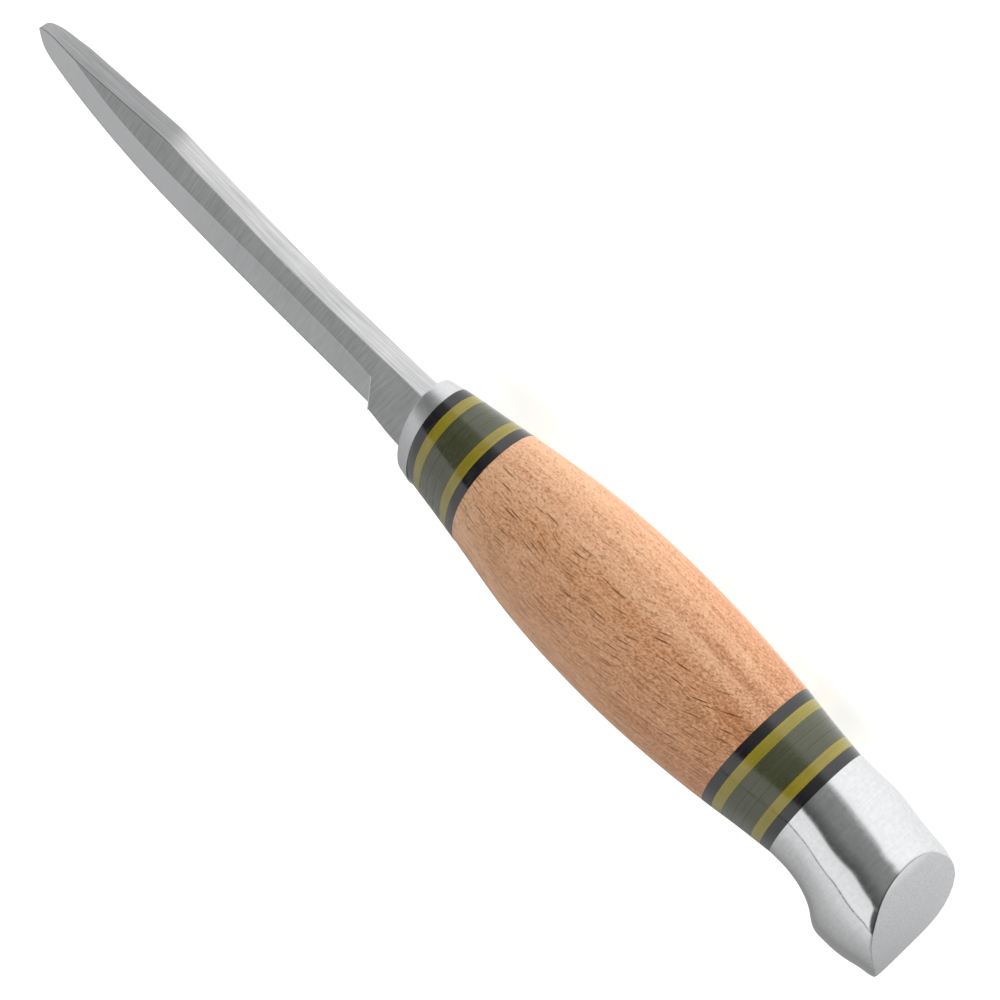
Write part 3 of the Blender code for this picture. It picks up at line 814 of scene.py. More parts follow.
# %% Points round the crease
HALF_RING = 84
FINE_STEPS = 720
EVEN_WALK = 12.0  # millimetres added to the walk, shared by all steps, so that no stretch is left bare
fine_turns = np.linspace(-math.pi / 2, math.pi / 2, FINE_STEPS)
fine_shares = crease_shares(fine_turns)
fine_crease = np.array([pommel_points(s, np.array([t]))[0] for s, t in zip(fine_shares, fine_turns)])
strides = np.linalg.norm(np.diff(fine_crease, axis=0), axis=1) + EVEN_WALK / FINE_STEPS
walked = np.concatenate([[0.0], np.cumsum(strides)])
half_turns = np.interp(np.linspace(0, walked[-1], HALF_RING + 1), walked, fine_turns)
half_shares = crease_shares(half_turns)
print("crease runs from share", round(half_shares[0], 3), "to", round(half_shares[-1], 3))

# %% [markdown]
# The ring goes up one side and down the other, so that each point has a partner straight across. The body
# is a casting: it waves by some thousandths of a millimetre, which bends its reflections, and the buffing
# wheel has rolled its sides in toward the crease.

# %% Pommel body
POMMEL_RINGS = 64
RING_CROWDING = 1.5  # above 1, the rings lie closer together toward the crease
CASTING_WAVE = 0.006
CASTING_LENGTH = 7.0
WAVE_FADE = (8, 6)  # the wave dies out over an eighth of the body in front and a sixth at the crease
ROLL_LENGTH = 1.6
# Each point: rise as a share of half the grip's height, depth of the roll in millimetres.
ROLL_DEPTHS = ((-0.3, 0.0), (-0.1, 0.08), (0.1, 0.2), (0.2, 0.34),
               (0.3, 0.42), (0.4, 0.25), (0.47, 0.1), (0.53, 0.05))

ring_turns = np.concatenate([half_turns, math.pi - half_turns[-2:0:-1]])
ring_shares = np.concatenate([half_shares, half_shares[-2:0:-1]])
body_rings = []
for u in 1 - (1 - np.linspace(0, 1, POMMEL_RINGS)) ** RING_CROWDING:
    ring = np.array([pommel_points(u * s, np.array([t]))[0] for s, t in zip(ring_shares, ring_turns)])
    rolled = np.clip(1 - (1 - u) * ring_shares * POMMEL_LENGTH / ROLL_LENGTH, 0.0, 1.0)
    depth = np.interp(ring[:, 1] / HALF_HEIGHT, *np.array(ROLL_DEPTHS).T) * rolled**2
    ring[:, 1:] -= depth[:, None] * ring[:, 1:] / np.linalg.norm(ring[:, 1:], axis=1)[:, None]
    wave = CASTING_WAVE * min(1.0, WAVE_FADE[0] * u, WAVE_FADE[1] * (1 - u))
    body_rings.append(wavy(ring, wave, CASTING_LENGTH))

mesh_tool = bmesh.new()
ground = mesh_tool.verts.layers.float.new(GROUND_SHARE)
crease_shade = mesh_tool.verts.layers.float.new(CREASE_SHADE)
body_rows = bridge(mesh_tool, body_rings, closed=False)[0]
print("pommel body:", len(body_rows), "rings of", len(ring_turns), "points")

# %% [markdown]
# The butt is straight from side to side, so it is a ladder: each rung joins two partners, and the faces
# lie between neighbouring rungs. At crown and beak a rung shrinks to one point.

# %% Butt
BUTT_COLUMNS = 22
crease = body_rows[-1]
count = len(crease)


def rung(k):
    """Points of the butt from the ring's point k to its partner on the other side."""
    right, left = crease[k], crease[(count - k) % count]
    if right is left:
        return [right]
    shares = 0.5 - 0.5 * np.cos(np.linspace(0, math.pi, BUTT_COLUMNS + 1)[1:-1])
    return [right] + [mesh_tool.verts.new(right.co.lerp(left.co, float(s))) for s in shares] + [left]


ladder = [rung(k) for k in range(HALF_RING + 1)]
for first, second in zip(ladder, ladder[1:]):
    for k in range(BUTT_COLUMNS):
        if len(first) == 1:
            corners = (first[0], second[k], second[k + 1])
        elif len(second) == 1:
            corners = (first[k], first[k + 1], second[0])
        else:
            corners = (first[k], first[k + 1], second[k + 1], second[k])
        mesh_tool.faces.new(corners)
print("butt:", len(ladder), "rungs of", BUTT_COLUMNS, "faces")

# %% [markdown]
# Two values on each point tell the material about the finish and the painted shade. The butt is ground, but
# less so at the beak and at the crown, where the wheel ran over the crease. Painted shade darkens a line
# along the crease, on the left side only.

# %% Finish of the pommel
# Each point: rise as a share of half the grip's height, or distance to the left in millimetres, then share.
GROUND_LEVELS = ((-1.2, 0.0), (-0.95, 1.0), (0.4, 1.0), (0.56, 0.3))
CREASE_SHADE_LEVELS = ((-0.25, 0.0), (-0.1, 0.15), (0.05, 0.5), (0.2, 0.7), (0.6, 0.7))
CREASE_SHADE_SIDES = ((-7.0, 0.0), (-2.0, 1.0))
CREASE_SHADE_ROWS = (0.9, 0.9, 0.8, 0.5, 0.2)  # from the crease forward


def rise_share(vert):
    """Rise of a point of the mesh as a share of half the grip's height."""
    return -(vert.co.y - AXIS.y) / MM / HALF_HEIGHT


for row in ladder:
    for vert in row:
        vert[ground] = float(np.interp(rise_share(vert), *np.array(GROUND_LEVELS).T))
# Painted shade along the crease: the last rows before it, darker toward the crown, on the left side.
for row, amount in zip(body_rows[::-1], CREASE_SHADE_ROWS):
    for vert in row:
        level = np.interp(rise_share(vert), *np.array(CREASE_SHADE_LEVELS).T)
        side = np.interp((vert.co.z - AXIS.z) / MM, *np.array(CREASE_SHADE_SIDES).T)
        vert[crease_shade] = float(amount * level * side)
print("polish line over", len(CREASE_SHADE_ROWS), "rows before the crease")

# %% [markdown]
# A casting has no knife-sharp edges. A bevel would ease the crease by the same amount everywhere. Here
# points are moved toward their neighbours, once along the sides and many times at beak, crown and lower
# corner, where buffing has worn the crease away.

# %% Ease the crease
EASE_FACTOR = 0.5
CREASE_ROWS = 4
END_ROWS = 9
CREASE_PASSES = 1
BEAK_BELOW, BEAK_PASSES = -0.92, 8
CROWN_ABOVE, CROWN_PASSES = 0.4, 3
CORNER_FROM = 0.84  # share of the pommel's length
CORNER_LEVELS = (-0.15, -0.3, -0.45, -0.6, -0.75, -0.9)
CORNER_PASSES = 10

near_crease = {vert for row in body_rows[-CREASE_ROWS:] for vert in row}
near_crease |= {vert for row in ladder for vert in row[:CREASE_ROWS] + row[-CREASE_ROWS:]}
back_end = {vert for row in body_rows[-END_ROWS:] + ladder for vert in row}
beak = [vert for vert in back_end if rise_share(vert) < BEAK_BELOW]
crown = [vert for vert in back_end if rise_share(vert) > CROWN_ABOVE]
corner_front = AXIS.x + (POMMEL_FRONT - CORNER_FROM * POMMEL_LENGTH) * MM
corner = [vert for vert in back_end if vert.co.x < corner_front]
easing = [(CREASE_PASSES, list(near_crease)), (BEAK_PASSES, beak), (CROWN_PASSES, crown)]
easing += [(CORNER_PASSES, [vert for vert in corner if rise_share(vert) < level]) for level in CORNER_LEVELS]
for passes, group in easing:
    for k in range(passes):
        bmesh.ops.smooth_vert(mesh_tool, verts=group, factor=EASE_FACTOR,
                              use_axis_x=True, use_axis_y=True, use_axis_z=True)
print("eased points:", [len(group) for passes, group in easing])

# %% [markdown]
# Last comes the blind hole for the stud. It has as many points as the body, so its mouth joins the body's
# first ring.

# %% Bore of the pommel
BORE_DEPTH = 12.8
POMMEL_SHARP = 70  # degrees
mouth = hole_ring(POMMEL_FRONT, ring_turns)
bottom = mouth - np.array([BORE_DEPTH, 0.0, 0.0])
bore_rows = bridge(mesh_tool, [mouth, bottom], closed=False)[0]
mesh_tool.faces.new(bore_rows[-1])
for k in range(count):
    after = (k + 1) % count
    mesh_tool.faces.new((body_rows[0][k], body_rows[0][after], bore_rows[0][after], bore_rows[0][k]))
pommel = new_piece("aluminium_pommel", mesh_tool, POMMEL_SHARP)
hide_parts("pommel")
pommel.data.materials.append(ALUMINIUM)
print(pommel.name, len(pommel.data.polygons), "faces")

# %% [markdown]
# ## Ground steel
# The blade is ground on belts, and each face keeps the direction of its grind: lengthwise on the spine,
# across on the flats, slanting on the bevels. Fine lines that all run one way stretch reflections across
# them. One recipe serves all faces, and only the direction, the tone and the roughness change. The tones are
# painted light: the spine and the bevels are painted paler and the flats darker, as light falls on each
# face.
# Belt lines are some hundredths of a millimetre wide, and are drawn a few times coarser so that they show.
# Painted shade makes the spine darker past its kink, a painted highlight makes the bevel paler toward the
# point, and a pale strip of painted highlight marks the end of the bevel.

# %% Steel materials
LINE_WIDTH = 0.11
LINE_LENGTH = 9.0
LINE_SPREAD_PER_MM = 0.1
LINE_WEIGHT = 0.8
BAND_PER_MM = 0.1
BAND_WEIGHT = 0.2
STEEL_NOISE = (0.36, 0.64)
LINE_NOISE = (0.3, 0.7)
LINE_RELIEF = 0.02
KINK_SHARE = 0.642  # where the spine bends down to the point, as a share of the blade's length
KINK = AXIS.x / MM + SHOULDER + KINK_SHARE * (TIP - SHOULDER)


def lined_steel(name, turn, tones, roughness, strength, on_spine=False, point=None):
    """Steel with fine lines at an angle to the blade. If a tone toward the point is given (its colour, its
    share, and where it starts and is full, in millimetres from the kink), it is painted: painted shade on
    the spine, a painted highlight on the bevel."""
    # Bright grey metal with a satin gloss. The lines show as streaks and draw highlights out across them.
    material, tree, shader = new_material(name)
    shader.inputs["Metallic"].default_value = 1.0
    place = millimetres(tree)
    turned = add(tree, "ShaderNodeVectorRotate", {"Vector": place, "Angle": math.radians(turn)},
                 rotation_type="Z_AXIS").outputs[0]
    across = (LINE_SPREAD_PER_MM, 1 / LINE_WIDTH) if on_spine else (1 / LINE_WIDTH, LINE_SPREAD_PER_MM)
    line_place = add(tree, "ShaderNodeVectorMath", {0: turned, 1: (1 / LINE_LENGTH, *across)},
                     operation="MULTIPLY").outputs[0]
    lines = add(tree, "ShaderNodeTexNoise",
                {"Vector": line_place, "Scale": 1.0, "Detail": 4.0, "Roughness": 0.65}).outputs[0]
    bands = add(tree, "ShaderNodeTexNoise",
                {"Vector": place, "Scale": BAND_PER_MM, "Detail": 3.0}).outputs[0]
    tone = add(tree, "ShaderNodeMath", {0: lines, 1: LINE_WEIGHT}, operation="MULTIPLY").outputs[0]
    tone = add(tree, "ShaderNodeMath", {0: bands, 1: BAND_WEIGHT, 2: tone},
               operation="MULTIPLY_ADD").outputs[0]
    base = add(tree, "ShaderNodeValToRGB", {0: tone}, stops=zip(STEEL_NOISE, map(linear, tones))).outputs[0]
    # Toward the point the tone is painted light: darker on the spine, paler on the bevel.
    if point:
        painted_point_tone, share, start, end = point
        lengthwise = add(tree, "ShaderNodeSeparateXYZ", {0: place}).outputs[0]
        reach = add(tree, "ShaderNodeMapRange", {0: lengthwise, 1: KINK + start, 2: KINK + end, 4: share},
                    interpolation_type="SMOOTHSTEP").outputs[0]
        base = add(tree, "ShaderNodeMix", {0: reach, 6: base, 7: linear(painted_point_tone)},
                   data_type="RGBA").outputs[2]
    tree.links.new(base, shader.inputs["Base Color"])
    gloss = add(tree, "ShaderNodeMapRange", {0: lines, 1: LINE_NOISE[0], 2: LINE_NOISE[1],
                                             3: roughness[0], 4: roughness[1]}).outputs[0]
    tree.links.new(gloss, shader.inputs["Roughness"])
    bump = add(tree, "ShaderNodeBump", {"Strength": strength, "Distance": LINE_RELIEF * MM, "Height": lines})
    tree.links.new(bump.outputs[0], shader.inputs["Normal"])
    return material


# Each face's tone is painted light, paler on spine, bevel and plunge strip and darker on the flat. The
# spine's point tone is painted shade, and the bevel's is a painted highlight.
STEEL_FACES = [
    lined_steel("belt_ground_steel_spine", turn=0, tones=("#BDBEBF", "#FBFBFC"), roughness=(0.26, 0.38),
                strength=0.08, on_spine=True, point=("#707172", 0.56, -3.4, 1.6)),
    lined_steel("belt_ground_steel_flat", turn=-74, tones=("#ACADAE", "#D3D4D5"), roughness=(0.3, 0.4),
                strength=0.08),
    lined_steel("belt_ground_steel_bevel", turn=-76, tones=("#D7D8D9", "#EDEEEF"), roughness=(0.36, 0.5),
                strength=0.1, point=("#F8F9FA", 0.85, -25.0, 5.0)),
    # Painted highlight: the plunge strip's near-white tone. Its rougher finish is real.
    lined_steel("belt_ground_steel_plunge_painted_highlight", turn=-76, tones=("#F4F5F6", "#FDFDFD"), roughness=(0.6, 0.7),
                strength=0.05),
]
SPINE_FACE, FLAT_FACE, BEVEL_FACE, PLUNGE_HIGHLIGHT_FACE = range(len(STEEL_FACES))
print("steel faces:", [m.name for m in STEEL_FACES])

# %% [markdown]
# ## Blade
# The blade is a bar with a long bevel on each side, a short ricasso without bevel at the bolster, and a
# rounded tip. Five lines describe it from the side: the spine up to its kink, the spine from there to the
# tip, the edge, the underside of the ricasso, and the grind line where the bevel begins. The grind line
# runs out over the spine before the tip, so there the flat shrinks to nothing.

# %% Blade lines
BLADE_LENGTH = TIP - SHOULDER
BLADE_HEIGHT = 20.0
KINK_RISE = 0.568
# Each point: share of the blade's length from the shoulder, rise as a share of the blade's height.
SPINE_LINE = ((0.0, 0.515), (0.13, 0.49), (0.31, 0.475), (0.48, 0.513), (KINK_SHARE, KINK_RISE))
POINT_LINE = ((KINK_SHARE, KINK_RISE), (0.74, 0.514), (0.84, 0.46), (0.91, 0.422), (0.95, 0.40),
              (0.975, 0.358), (0.988, 0.315), (0.996, 0.262), (1.0, 0.2))
EDGE_LINE = ((0.115, -0.478), (0.38, -0.48), (0.57, -0.458), (0.70, -0.42), (0.797, -0.348), (0.884, -0.238),
             (0.927, -0.163), (0.955, -0.105), (0.978, -0.043), (0.988, 0.005), (0.995, 0.075), (1.0, 0.2))
RICASSO_LINE = ((0.0, -0.495), (0.055, -0.465), (0.092, -0.415), (0.104, -0.395))
GRIND_LINE = ((0.108, 0.11), (0.16, 0.138), (0.28, 0.158), (0.55, 0.153), (0.66, 0.163), (0.735, 0.198),
              (0.80, 0.265), (0.875, 0.405), (0.92, 0.52), (1.04, 0.85))
KINK_SOFTNESS = 0.014
KINK_REACH = 3 * KINK_SOFTNESS
KINK_SAMPLES = 9


def toward_tip(line):
    """The line by the root of the distance to the tip, in which a round tip is a smooth curve."""
    return sorted((math.sqrt(1 - share), rise) for share, rise in line)


POINT_ROOTS = toward_tip(POINT_LINE)
EDGE_ROOTS = toward_tip(EDGE_LINE)


def sharp_spine(share):
    """Rise of the spine, with a sharp kink."""
    if share <= KINK_SHARE:
        return smooth(SPINE_LINE, max(share, 0.0))
    return smooth(POINT_ROOTS, math.sqrt(max(1 - share, 0.0)))


def spine_rise(share):
    """Rise of the spine, with the kink before the point eased over a few millimetres."""
    if abs(share - KINK_SHARE) > KINK_REACH:
        return sharp_spine(share)
    nearby = np.linspace(-1, 1, KINK_SAMPLES) * KINK_SOFTNESS
    return float(np.mean([sharp_spine(share + step) for step in nearby]))


heel, heel_rise = EDGE_LINE[0]
print("blade height at the heel", round((spine_rise(heel) - heel_rise) * BLADE_HEIGHT, 2), "mm")

# %% [markdown]
# Seen end on, every section has the same parts: spine, corner, flat, grind line, bevel and edge. So each
# section is a ring with the same number of points, and the rings follow the lines. A bar cut by two planes
# would need its cuts fitted at the tip, where rings simply shrink.

# %% Blade sections
BLADE_HALF = 3.5 / 2
EDGE_HALF = 0.25 / 2
SPINE_CORNER = 0.1
CORNER_SHARES = (0.3, 0.2)  # the corner is at most these shares of the half thickness and of the height
CORNER_POINTS = 4
SPINE_POINTS = 3
FLAT_LEVELS = 5
BEVEL_LEVELS = 9
# Places of single points: on the spine by the half thickness and by the corner, then where the flat starts
# and the least that is left of it, both by the corner, then on the edge by its half thickness.
SPINE_INNER, SPINE_OUTER = 0.35, 1.6
FLAT_START, FLAT_LEAST = 1.15, 1.3
EDGE_INNER = 0.6
EDGE_FOOT = 0.1  # the bevel's last point stands this far above the edge, or
EDGE_FOOT_SHARE = 0.05  # this share of a low section


def half_section(low, high, grind, thin, deepest=BLADE_HALF):
    """Left half of a section, from the middle of the spine to the middle of the edge, as (rise, side)."""

    def side(rise):
        if rise >= grind:
            return BLADE_HALF
        ground_to = thin + (BLADE_HALF - thin) * max(rise - low, 0.0) / (grind - low)
        return max(ground_to, BLADE_HALF - deepest)

    shoulder = side(high)
    corner = min(SPINE_CORNER, CORNER_SHARES[0] * shoulder, CORNER_SHARES[1] * (high - low))
    points = [(high, 0.0), (high, SPINE_INNER * shoulder), (high, shoulder - SPINE_OUTER * corner)]
    for turn in np.linspace(0, math.pi / 2, CORNER_POINTS):
        inward = side(high - corner) - corner * (1 - math.sin(turn))
        points.append((high - corner * (1 - math.cos(turn)), inward))
    flat_start, flat_end = high - FLAT_START * corner, min(grind, high - FLAT_LEAST * corner)
    points += [(rise, side(rise)) for rise in np.linspace(flat_start, flat_end, FLAT_LEVELS)]
    foot = low + min(EDGE_FOOT, EDGE_FOOT_SHARE * (high - low))
    points += [(rise, side(rise)) for rise in np.linspace(flat_end, foot, BEVEL_LEVELS)[1:]]
    return points + [(low, EDGE_INNER * side(low)), (low, 0.0)]


def blade_ring(x, low, high, grind, thin, deepest=BLADE_HALF):
    """Whole section at x, down the left side and up the right."""
    left = half_section(low, high, grind, thin, deepest)
    right = [(rise, -side) for rise, side in left[-2:0:-1]]
    return np.array([(x, rise, side) for rise, side in left + right])


def blade_station(share):
    """Ring of the blade at a share of its length from the shoulder."""
    x = SHOULDER + share * BLADE_LENGTH
    high = spine_rise(share) * BLADE_HEIGHT
    if share <= RICASSO_LINE[-1][0]:
        low, grind, thin = smooth(RICASSO_LINE, share), GRIND_LINE[0][1], BLADE_HALF
    else:
        low = smooth(EDGE_ROOTS, math.sqrt(max(1 - share, 0.0)))
        grind, thin = smooth(GRIND_LINE, share), EDGE_HALF
    return blade_ring(x, low * BLADE_HEIGHT, high, grind * BLADE_HEIGHT, thin)


print("points in a section:", len(blade_station(heel)))

# %% [markdown]
# Behind the shoulder follow the tang and its tongue, which hide in the handle. Sections lie closer where
# the outline bends most: at the end of the bevel, round the kink and toward the tip.

# %% Tang and stations
TANG_LENGTH, TONGUE_LENGTH = 52.0, 8.0
TANG_END = SHOULDER - TANG_LENGTH
TONGUE_END = TANG_END - TONGUE_LENGTH
TONGUE_HEIGHT = 4.6
TANG_HEIGHTS = (7.0, 10.0)  # at the back and at the shoulder
RICASSO_SECTIONS = 8
PLUNGE_END = 0.4  # the bevel is at full depth this far in front of the ricasso
# Each row: first and last share of a stretch of the blade, number of sections in it.
STRETCHES = (
    (0.135, KINK_SHARE - 0.045, 40),
    (KINK_SHARE - 0.04, KINK_SHARE + 0.04, 17),
    (KINK_SHARE + 0.045, 0.93, 30),
)
TIP_FROM, TIP_ROOT, TIP_SECTIONS = 0.065, 0.004, 44  # share before the tip, root of the last one, number

tang_steps = ((TONGUE_END, TONGUE_HEIGHT), (TANG_END, TONGUE_HEIGHT),
              (TANG_END, TANG_HEIGHTS[0]), (SHOULDER, TANG_HEIGHTS[1]))
tang = [blade_ring(x, -height / 2, height / 2, 0.0, BLADE_HALF) for x, height in tang_steps]
ricasso = list(np.linspace(0, RICASSO_LINE[-1][0], RICASSO_SECTIONS))
shares = ricasso + [ricasso[-1] + PLUNGE_END / BLADE_LENGTH]
for first, last, sections in STRETCHES:
    shares += list(np.linspace(first, last, sections))
shares += [1 - root**2 for root in np.linspace(math.sqrt(TIP_FROM), TIP_ROOT, TIP_SECTIONS)]
stations = [blade_station(share) for share in shares]
print("sections:", len(tang), "on the tang,", len(stations), "on the blade")

# %% [markdown]
# The grinding belt leaves the bevel's end leaning forward, and a narrow strip there catches the light, with
# a pale painted highlight as well. One more section between ricasso and bevel draws that strip, and the
# three sections lean together.

# %% End of the bevel
PLUNGE_LEAN = 0.9
PLUNGE_CATCH = 0.3
PLUNGE_DEPTH = 0.1
PLUNGE_LEVELS = ((-9.0, 0.3), (2.0, 1.0), (8.0, 0.0))  # rise in millimetres, share of the lean


def leaning(ring, amount):
    """Tip a section forward at the grind line, as the belt leaves it at the end of the bevel."""
    moved = ring.copy()
    moved[:, 0] += amount * np.interp(ring[:, 1], *np.array(PLUNGE_LEVELS).T)
    return moved


end = len(ricasso)
catch_x = SHOULDER + ricasso[-1] * BLADE_LENGTH + PLUNGE_CATCH
catch_low = (stations[end - 1][:, 1].min() + stations[end][:, 1].min()) / 2
catch_high = stations[end][:, 1].max()
catch_grind = GRIND_LINE[0][1] * BLADE_HEIGHT
stations.insert(end, blade_ring(catch_x, catch_low, catch_high, catch_grind, EDGE_HALF, PLUNGE_DEPTH))
for k in (end - 1, end, end + 1):
    stations[k] = leaning(stations[k], PLUNGE_LEAN)
print("bevel ends", round(catch_x - SHOULDER, 1), "mm in front of the shoulder")

# %% [markdown]
# Every face is given its steel by its place in the section. The grind line is marked as a sharp edge, so
# that flat and bevel reflect as two planes.

# %% Blade
BLADE_SHARP = 28  # degrees
mesh_tool = bmesh.new()
rows, faces = bridge(mesh_tool, tang + stations, closed=False)
mesh_tool.faces.new(rows[0])
mesh_tool.faces.new(rows[-1])
per_ring = len(rows[0])
flat_from = SPINE_POINTS + CORNER_POINTS - 1
bevel_from = flat_from + FLAT_LEVELS
plunge_row = len(tang) + len(ricasso) - 1
for k, face in enumerate(faces):
    row, step = divmod(k, per_ring)
    depth = min(step, per_ring - 1 - step)
    if depth < flat_from:
        face.material_index = SPINE_FACE
    elif depth < bevel_from or row < plunge_row:
        face.material_index = FLAT_FACE
    else:
        # The plunge strip's pale steel is a painted highlight on a rougher ground finish.
        face.material_index = PLUNGE_HIGHLIGHT_FACE if row == plunge_row else BEVEL_FACE
for row, following in zip(rows, rows[1:]):
    for k in (bevel_from, per_ring - bevel_from):
        mesh_tool.edges.get((row[k], following[k])).smooth = False
blade = new_piece("steel_blade", mesh_tool, BLADE_SHARP)
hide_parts("blade")
for material in STEEL_FACES:
    blade.data.materials.append(material)
print(blade.name, len(blade.data.polygons), "faces,", per_ring, "points a ring")

# %% [markdown]
# ## Stud
# The stud that joins tang and pommel is hidden inside. Its solid is already right, so it only gets a finish:
# steel with the fine rings that turning leaves.

# %% Stud
stud = frame["nodes"]["tang_stud"]
stud.data.materials.clear()
stud.data.materials.append(lined_steel("turned_steel_stud", turn=90, tones=("#A9AAAC", "#C6C7C9"),
                                       roughness=(0.3, 0.42), strength=0.1))
print("stud keeps its solid:", stud.name)

# %% [markdown]
# ## Table
# The knife lies on a white table. The table glows a little, as a lit acrylic sheet does, so it is white to
# the camera, and it still takes the knife's soft shadow. Polished metal shows a table as bands of light and
# dark. To give those bands, mirrored rays see painted light on the table across the knife: a painted pool of
# light a little to the spine's side of the middle, a painted shadow of the knife on the edge's side, and dim
# toward both sides.

# %% Floor
FLOOR_SIZE = 6.0
floor_mesh = bpy.data.meshes.new("floor")
floor_tool = bmesh.new()
bmesh.ops.create_grid(floor_tool, x_segments=1, y_segments=1, size=FLOOR_SIZE / 2)
floor_tool.to_mesh(floor_mesh)
floor_tool.free()
floor = bpy.data.objects.new("floor", floor_mesh)
bpy.context.scene.collection.objects.link(floor)
print("floor", FLOOR_SIZE, "m wide")

# %% [markdown]
# The Light Path node tells the shader who is looking: the camera, a mirrored ray or another one. So the
# white of the table doesn't have to come from more light on the knife.

# %% Table material
TABLE_GREY = 0.7
TABLE_ROUGHNESS = 0.6
GLOW, GLOW_TO_CAMERA = 1.0, 0.8
GLOW_REACH = 120.0
# Ends first, then from the spine's side to the edge's side: share of the reach, light level.
GLOW_STOPS = (
    (0.0, 0.25), (1.0, 0.28), (0.137, 0.36), (0.22, 0.5), (0.275, 0.88), (0.31, 0.98), (0.365, 1.0),
    (0.43, 1.0), (0.48, 0.88), (0.508, 0.82), (0.533, 0.8), (0.583, 0.72), (0.646, 0.55), (0.71, 0.34))
# Opal acrylic, lit from below: matt, white and without any pattern of its own.
material, tree, shader = new_material("white_acrylic_table")
shader.inputs["Base Color"].default_value = grey(TABLE_GREY)
shader.inputs["Roughness"].default_value = TABLE_ROUGHNESS
shader.inputs["Emission Color"].default_value = grey(1.0)
light_path = add(tree, "ShaderNodeLightPath").outputs
lit = add(tree, "ShaderNodeMix", {0: light_path["Is Camera Ray"], 2: GLOW, 3: GLOW_TO_CAMERA}).outputs[0]
tree.links.new(lit, shader.inputs["Emission Strength"])
# Mirrored rays see painted light by place: a pool of light on the spine's side and the knife's painted
# shadow on the edge's side.
across_table = add(tree, "ShaderNodeSeparateXYZ", {0: millimetres(tree)}).outputs[1]
spot = add(tree, "ShaderNodeMapRange", {0: across_table, 1: -GLOW_REACH, 2: GLOW_REACH}).outputs[0]
glow = add(tree, "ShaderNodeValToRGB", {0: spot},
           stops=[(place, grey(level)) for place, level in GLOW_STOPS]).outputs[0]
mirrored = add(tree, "ShaderNodeEmission", {"Color": glow, "Strength": 1.0}).outputs[0]
table = add(tree, "ShaderNodeMixShader",
            {0: light_path["Is Glossy Ray"], 1: shader.outputs[0], 2: mirrored}).outputs[0]
tree.links.new(table, tree.nodes["Material Output"].inputs["Surface"])
floor_mesh.materials.append(material)
print("material:", material.name)

# %% [markdown]
# ## Light
# Above hangs a wide soft light, and the room around is dim: the dim band is what gives polished metal its
# dark stripe. The light ends over both ends of the handle, so bolster and pommel mirror its dim ends too,
# and a narrow dark gap parts it into two panels. Lamps could be hung for all this. The world draws it by
# direction instead, as one ramp over an arc from the spine's side to the edge's side, so that each band can
# be set by itself. The camera sees white.

# %% World
# Ends first, then over the arc: share of half a turn, light level.
STUDIO_STOPS = (
    (0.0, 0.235), (1.0, 0.31), (0.12, 0.21), (0.2, 0.135), (0.27, 0.085), (0.3, 0.135), (0.33, 0.8),
    (0.542, 0.86), (0.546, 0.1), (0.554, 0.1), (0.56, 0.74), (0.67, 0.64), (0.78, 0.5), (0.89, 0.42))
SOFT_LIGHT_MIDDLE = -0.07
SOFT_LIGHT_END = (0.41, 0.53)  # reach along the knife at which the light starts to fade and is gone
SOFT_LIGHT_ARC = (0.43, 0.12)  # middle and half width on the arc
DIM = 0.1
world_data = bpy.data.worlds.new("studio")
world_data.use_nodes = True
bpy.context.scene.world = world_data
tree = world_data.node_tree
direction = add(tree, "ShaderNodeTexCoord").outputs["Generated"]
lengthwise, sideways, upward = add(tree, "ShaderNodeSeparateXYZ", {0: direction}).outputs
spineward = add(tree, "ShaderNodeMath", {0: sideways, 1: -1.0}, operation="MULTIPLY").outputs[0]
angle = add(tree, "ShaderNodeMath", {0: upward, 1: spineward}, operation="ARCTAN2").outputs[0]
over = add(tree, "ShaderNodeMath", {0: angle, 1: math.pi}, operation="DIVIDE").outputs[0]
studio = add(tree, "ShaderNodeValToRGB", {0: over},
             stops=[(place, grey(level)) for place, level in STUDIO_STOPS]).outputs[0]
beside = add(tree, "ShaderNodeMath", {0: lengthwise, 1: SOFT_LIGHT_MIDDLE}, operation="SUBTRACT").outputs[0]
beside = add(tree, "ShaderNodeMath", {0: beside}, operation="ABSOLUTE").outputs[0]
past_end = add(tree, "ShaderNodeMapRange",
               {0: beside, 1: SOFT_LIGHT_END[0], 2: SOFT_LIGHT_END[1]}).outputs[0]
overhead = add(tree, "ShaderNodeMath", {0: over, 1: SOFT_LIGHT_ARC[0], 2: SOFT_LIGHT_ARC[1]},
               operation="COMPARE").outputs[0]
past_end = add(tree, "ShaderNodeMath", {0: past_end, 1: overhead}, operation="MULTIPLY").outputs[0]
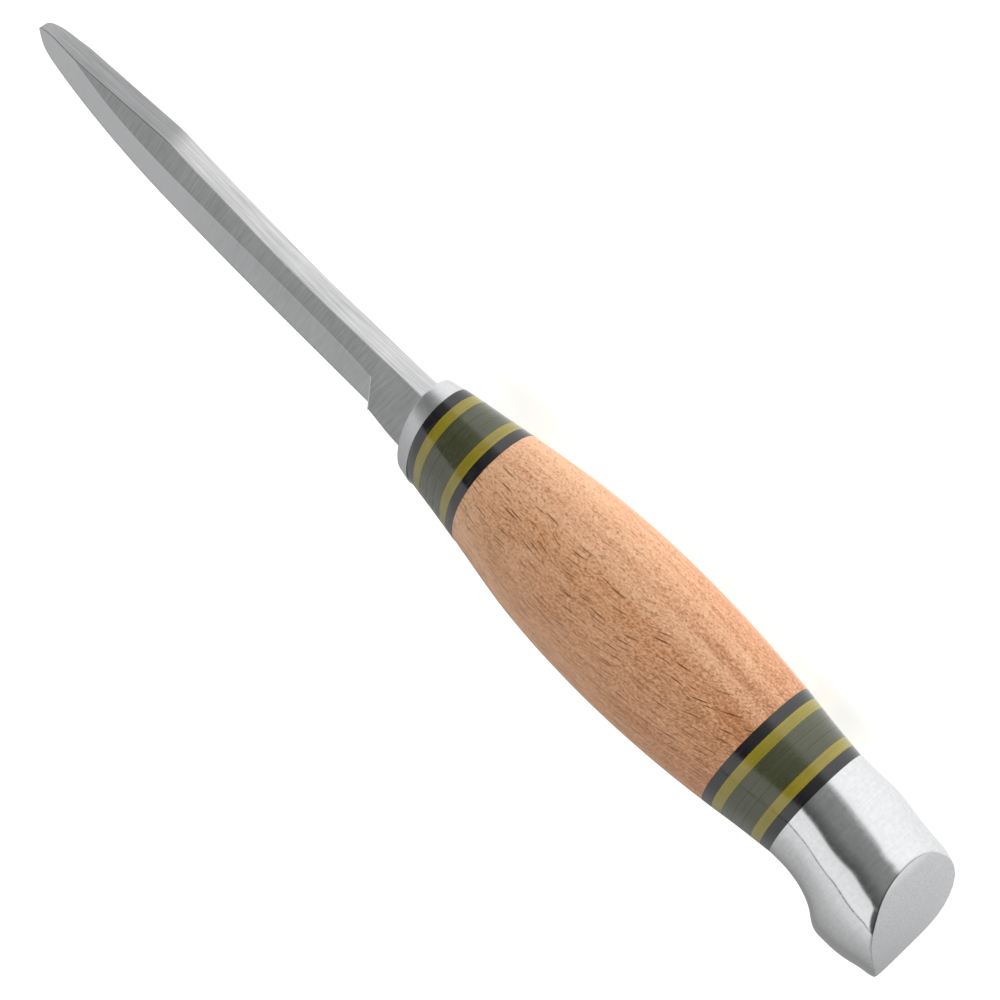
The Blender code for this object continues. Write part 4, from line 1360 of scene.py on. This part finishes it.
studio = add(tree, "ShaderNodeMix", {0: past_end, 6: studio, 7: grey(DIM)}, data_type="RGBA").outputs[2]
seen = add(tree, "ShaderNodeLightPath").outputs["Is Camera Ray"]
shown = add(tree, "ShaderNodeMix", {0: seen, 6: studio, 7: grey(1.0)}, data_type="RGBA").outputs[2]
background = tree.nodes["Background"]
tree.links.new(shown, background.inputs["Color"])
background.inputs["Strength"].default_value = 1.0
print("world:", world_data.name, "with", len(STUDIO_STOPS), "light levels")

# %% [markdown]
# A square lamp on the spine's side adds the shading of a studio box and the soft shadow. It is left out of
# mirrored rays, so that the metal shows the ramp alone.

# %% Lamp
LAMP_SIZE = 0.7
LAMP_POWER = 1.45
LAMP_SPOT = (-0.1, -0.35, 0.9)
lamp_data = bpy.data.lights.new("soft_box", "AREA")
lamp_data.shape = "SQUARE"
lamp_data.size = LAMP_SIZE
lamp_data.energy = LAMP_POWER
lamp = bpy.data.objects.new("soft_box", lamp_data)
lamp.location = LAMP_SPOT
lamp.rotation_euler = (-lamp.location).to_track_quat("-Z", "Y").to_euler()
lamp.visible_glossy = False
bpy.context.scene.collection.objects.link(lamp)
print("lamp at", [round(v, 2) for v in lamp.location])

# %% [markdown]
# ## Camera
# The camera looks from the spine's side, a little behind the pommel, with a long lens. It was set from the
# photograph: the blade's length, the handle's sections and the butt only line up from one place.

# %% Camera
CAMERA_SPOT = (-109.741, 399.571, 176.922)
CAMERA_TURN = (-55.972, 45.445, -169.425)
LENS = 104.4
SENSOR_WIDTH = 36.0
NEAREST = 0.01
camera_data = bpy.data.cameras.new("camera")
camera_data.sensor_width = SENSOR_WIDTH
camera_data.lens = LENS
camera_data.clip_start = NEAREST
camera = bpy.data.objects.new("camera", camera_data)
camera.location = world([CAMERA_SPOT])[0]
camera.rotation_euler = [math.radians(turn) for turn in CAMERA_TURN]
bpy.context.scene.collection.objects.link(camera)
bpy.context.scene.camera = camera
bpy.context.scene.view_settings.view_transform = "Standard"
print("camera at", [round(v, 3) for v in camera.location])
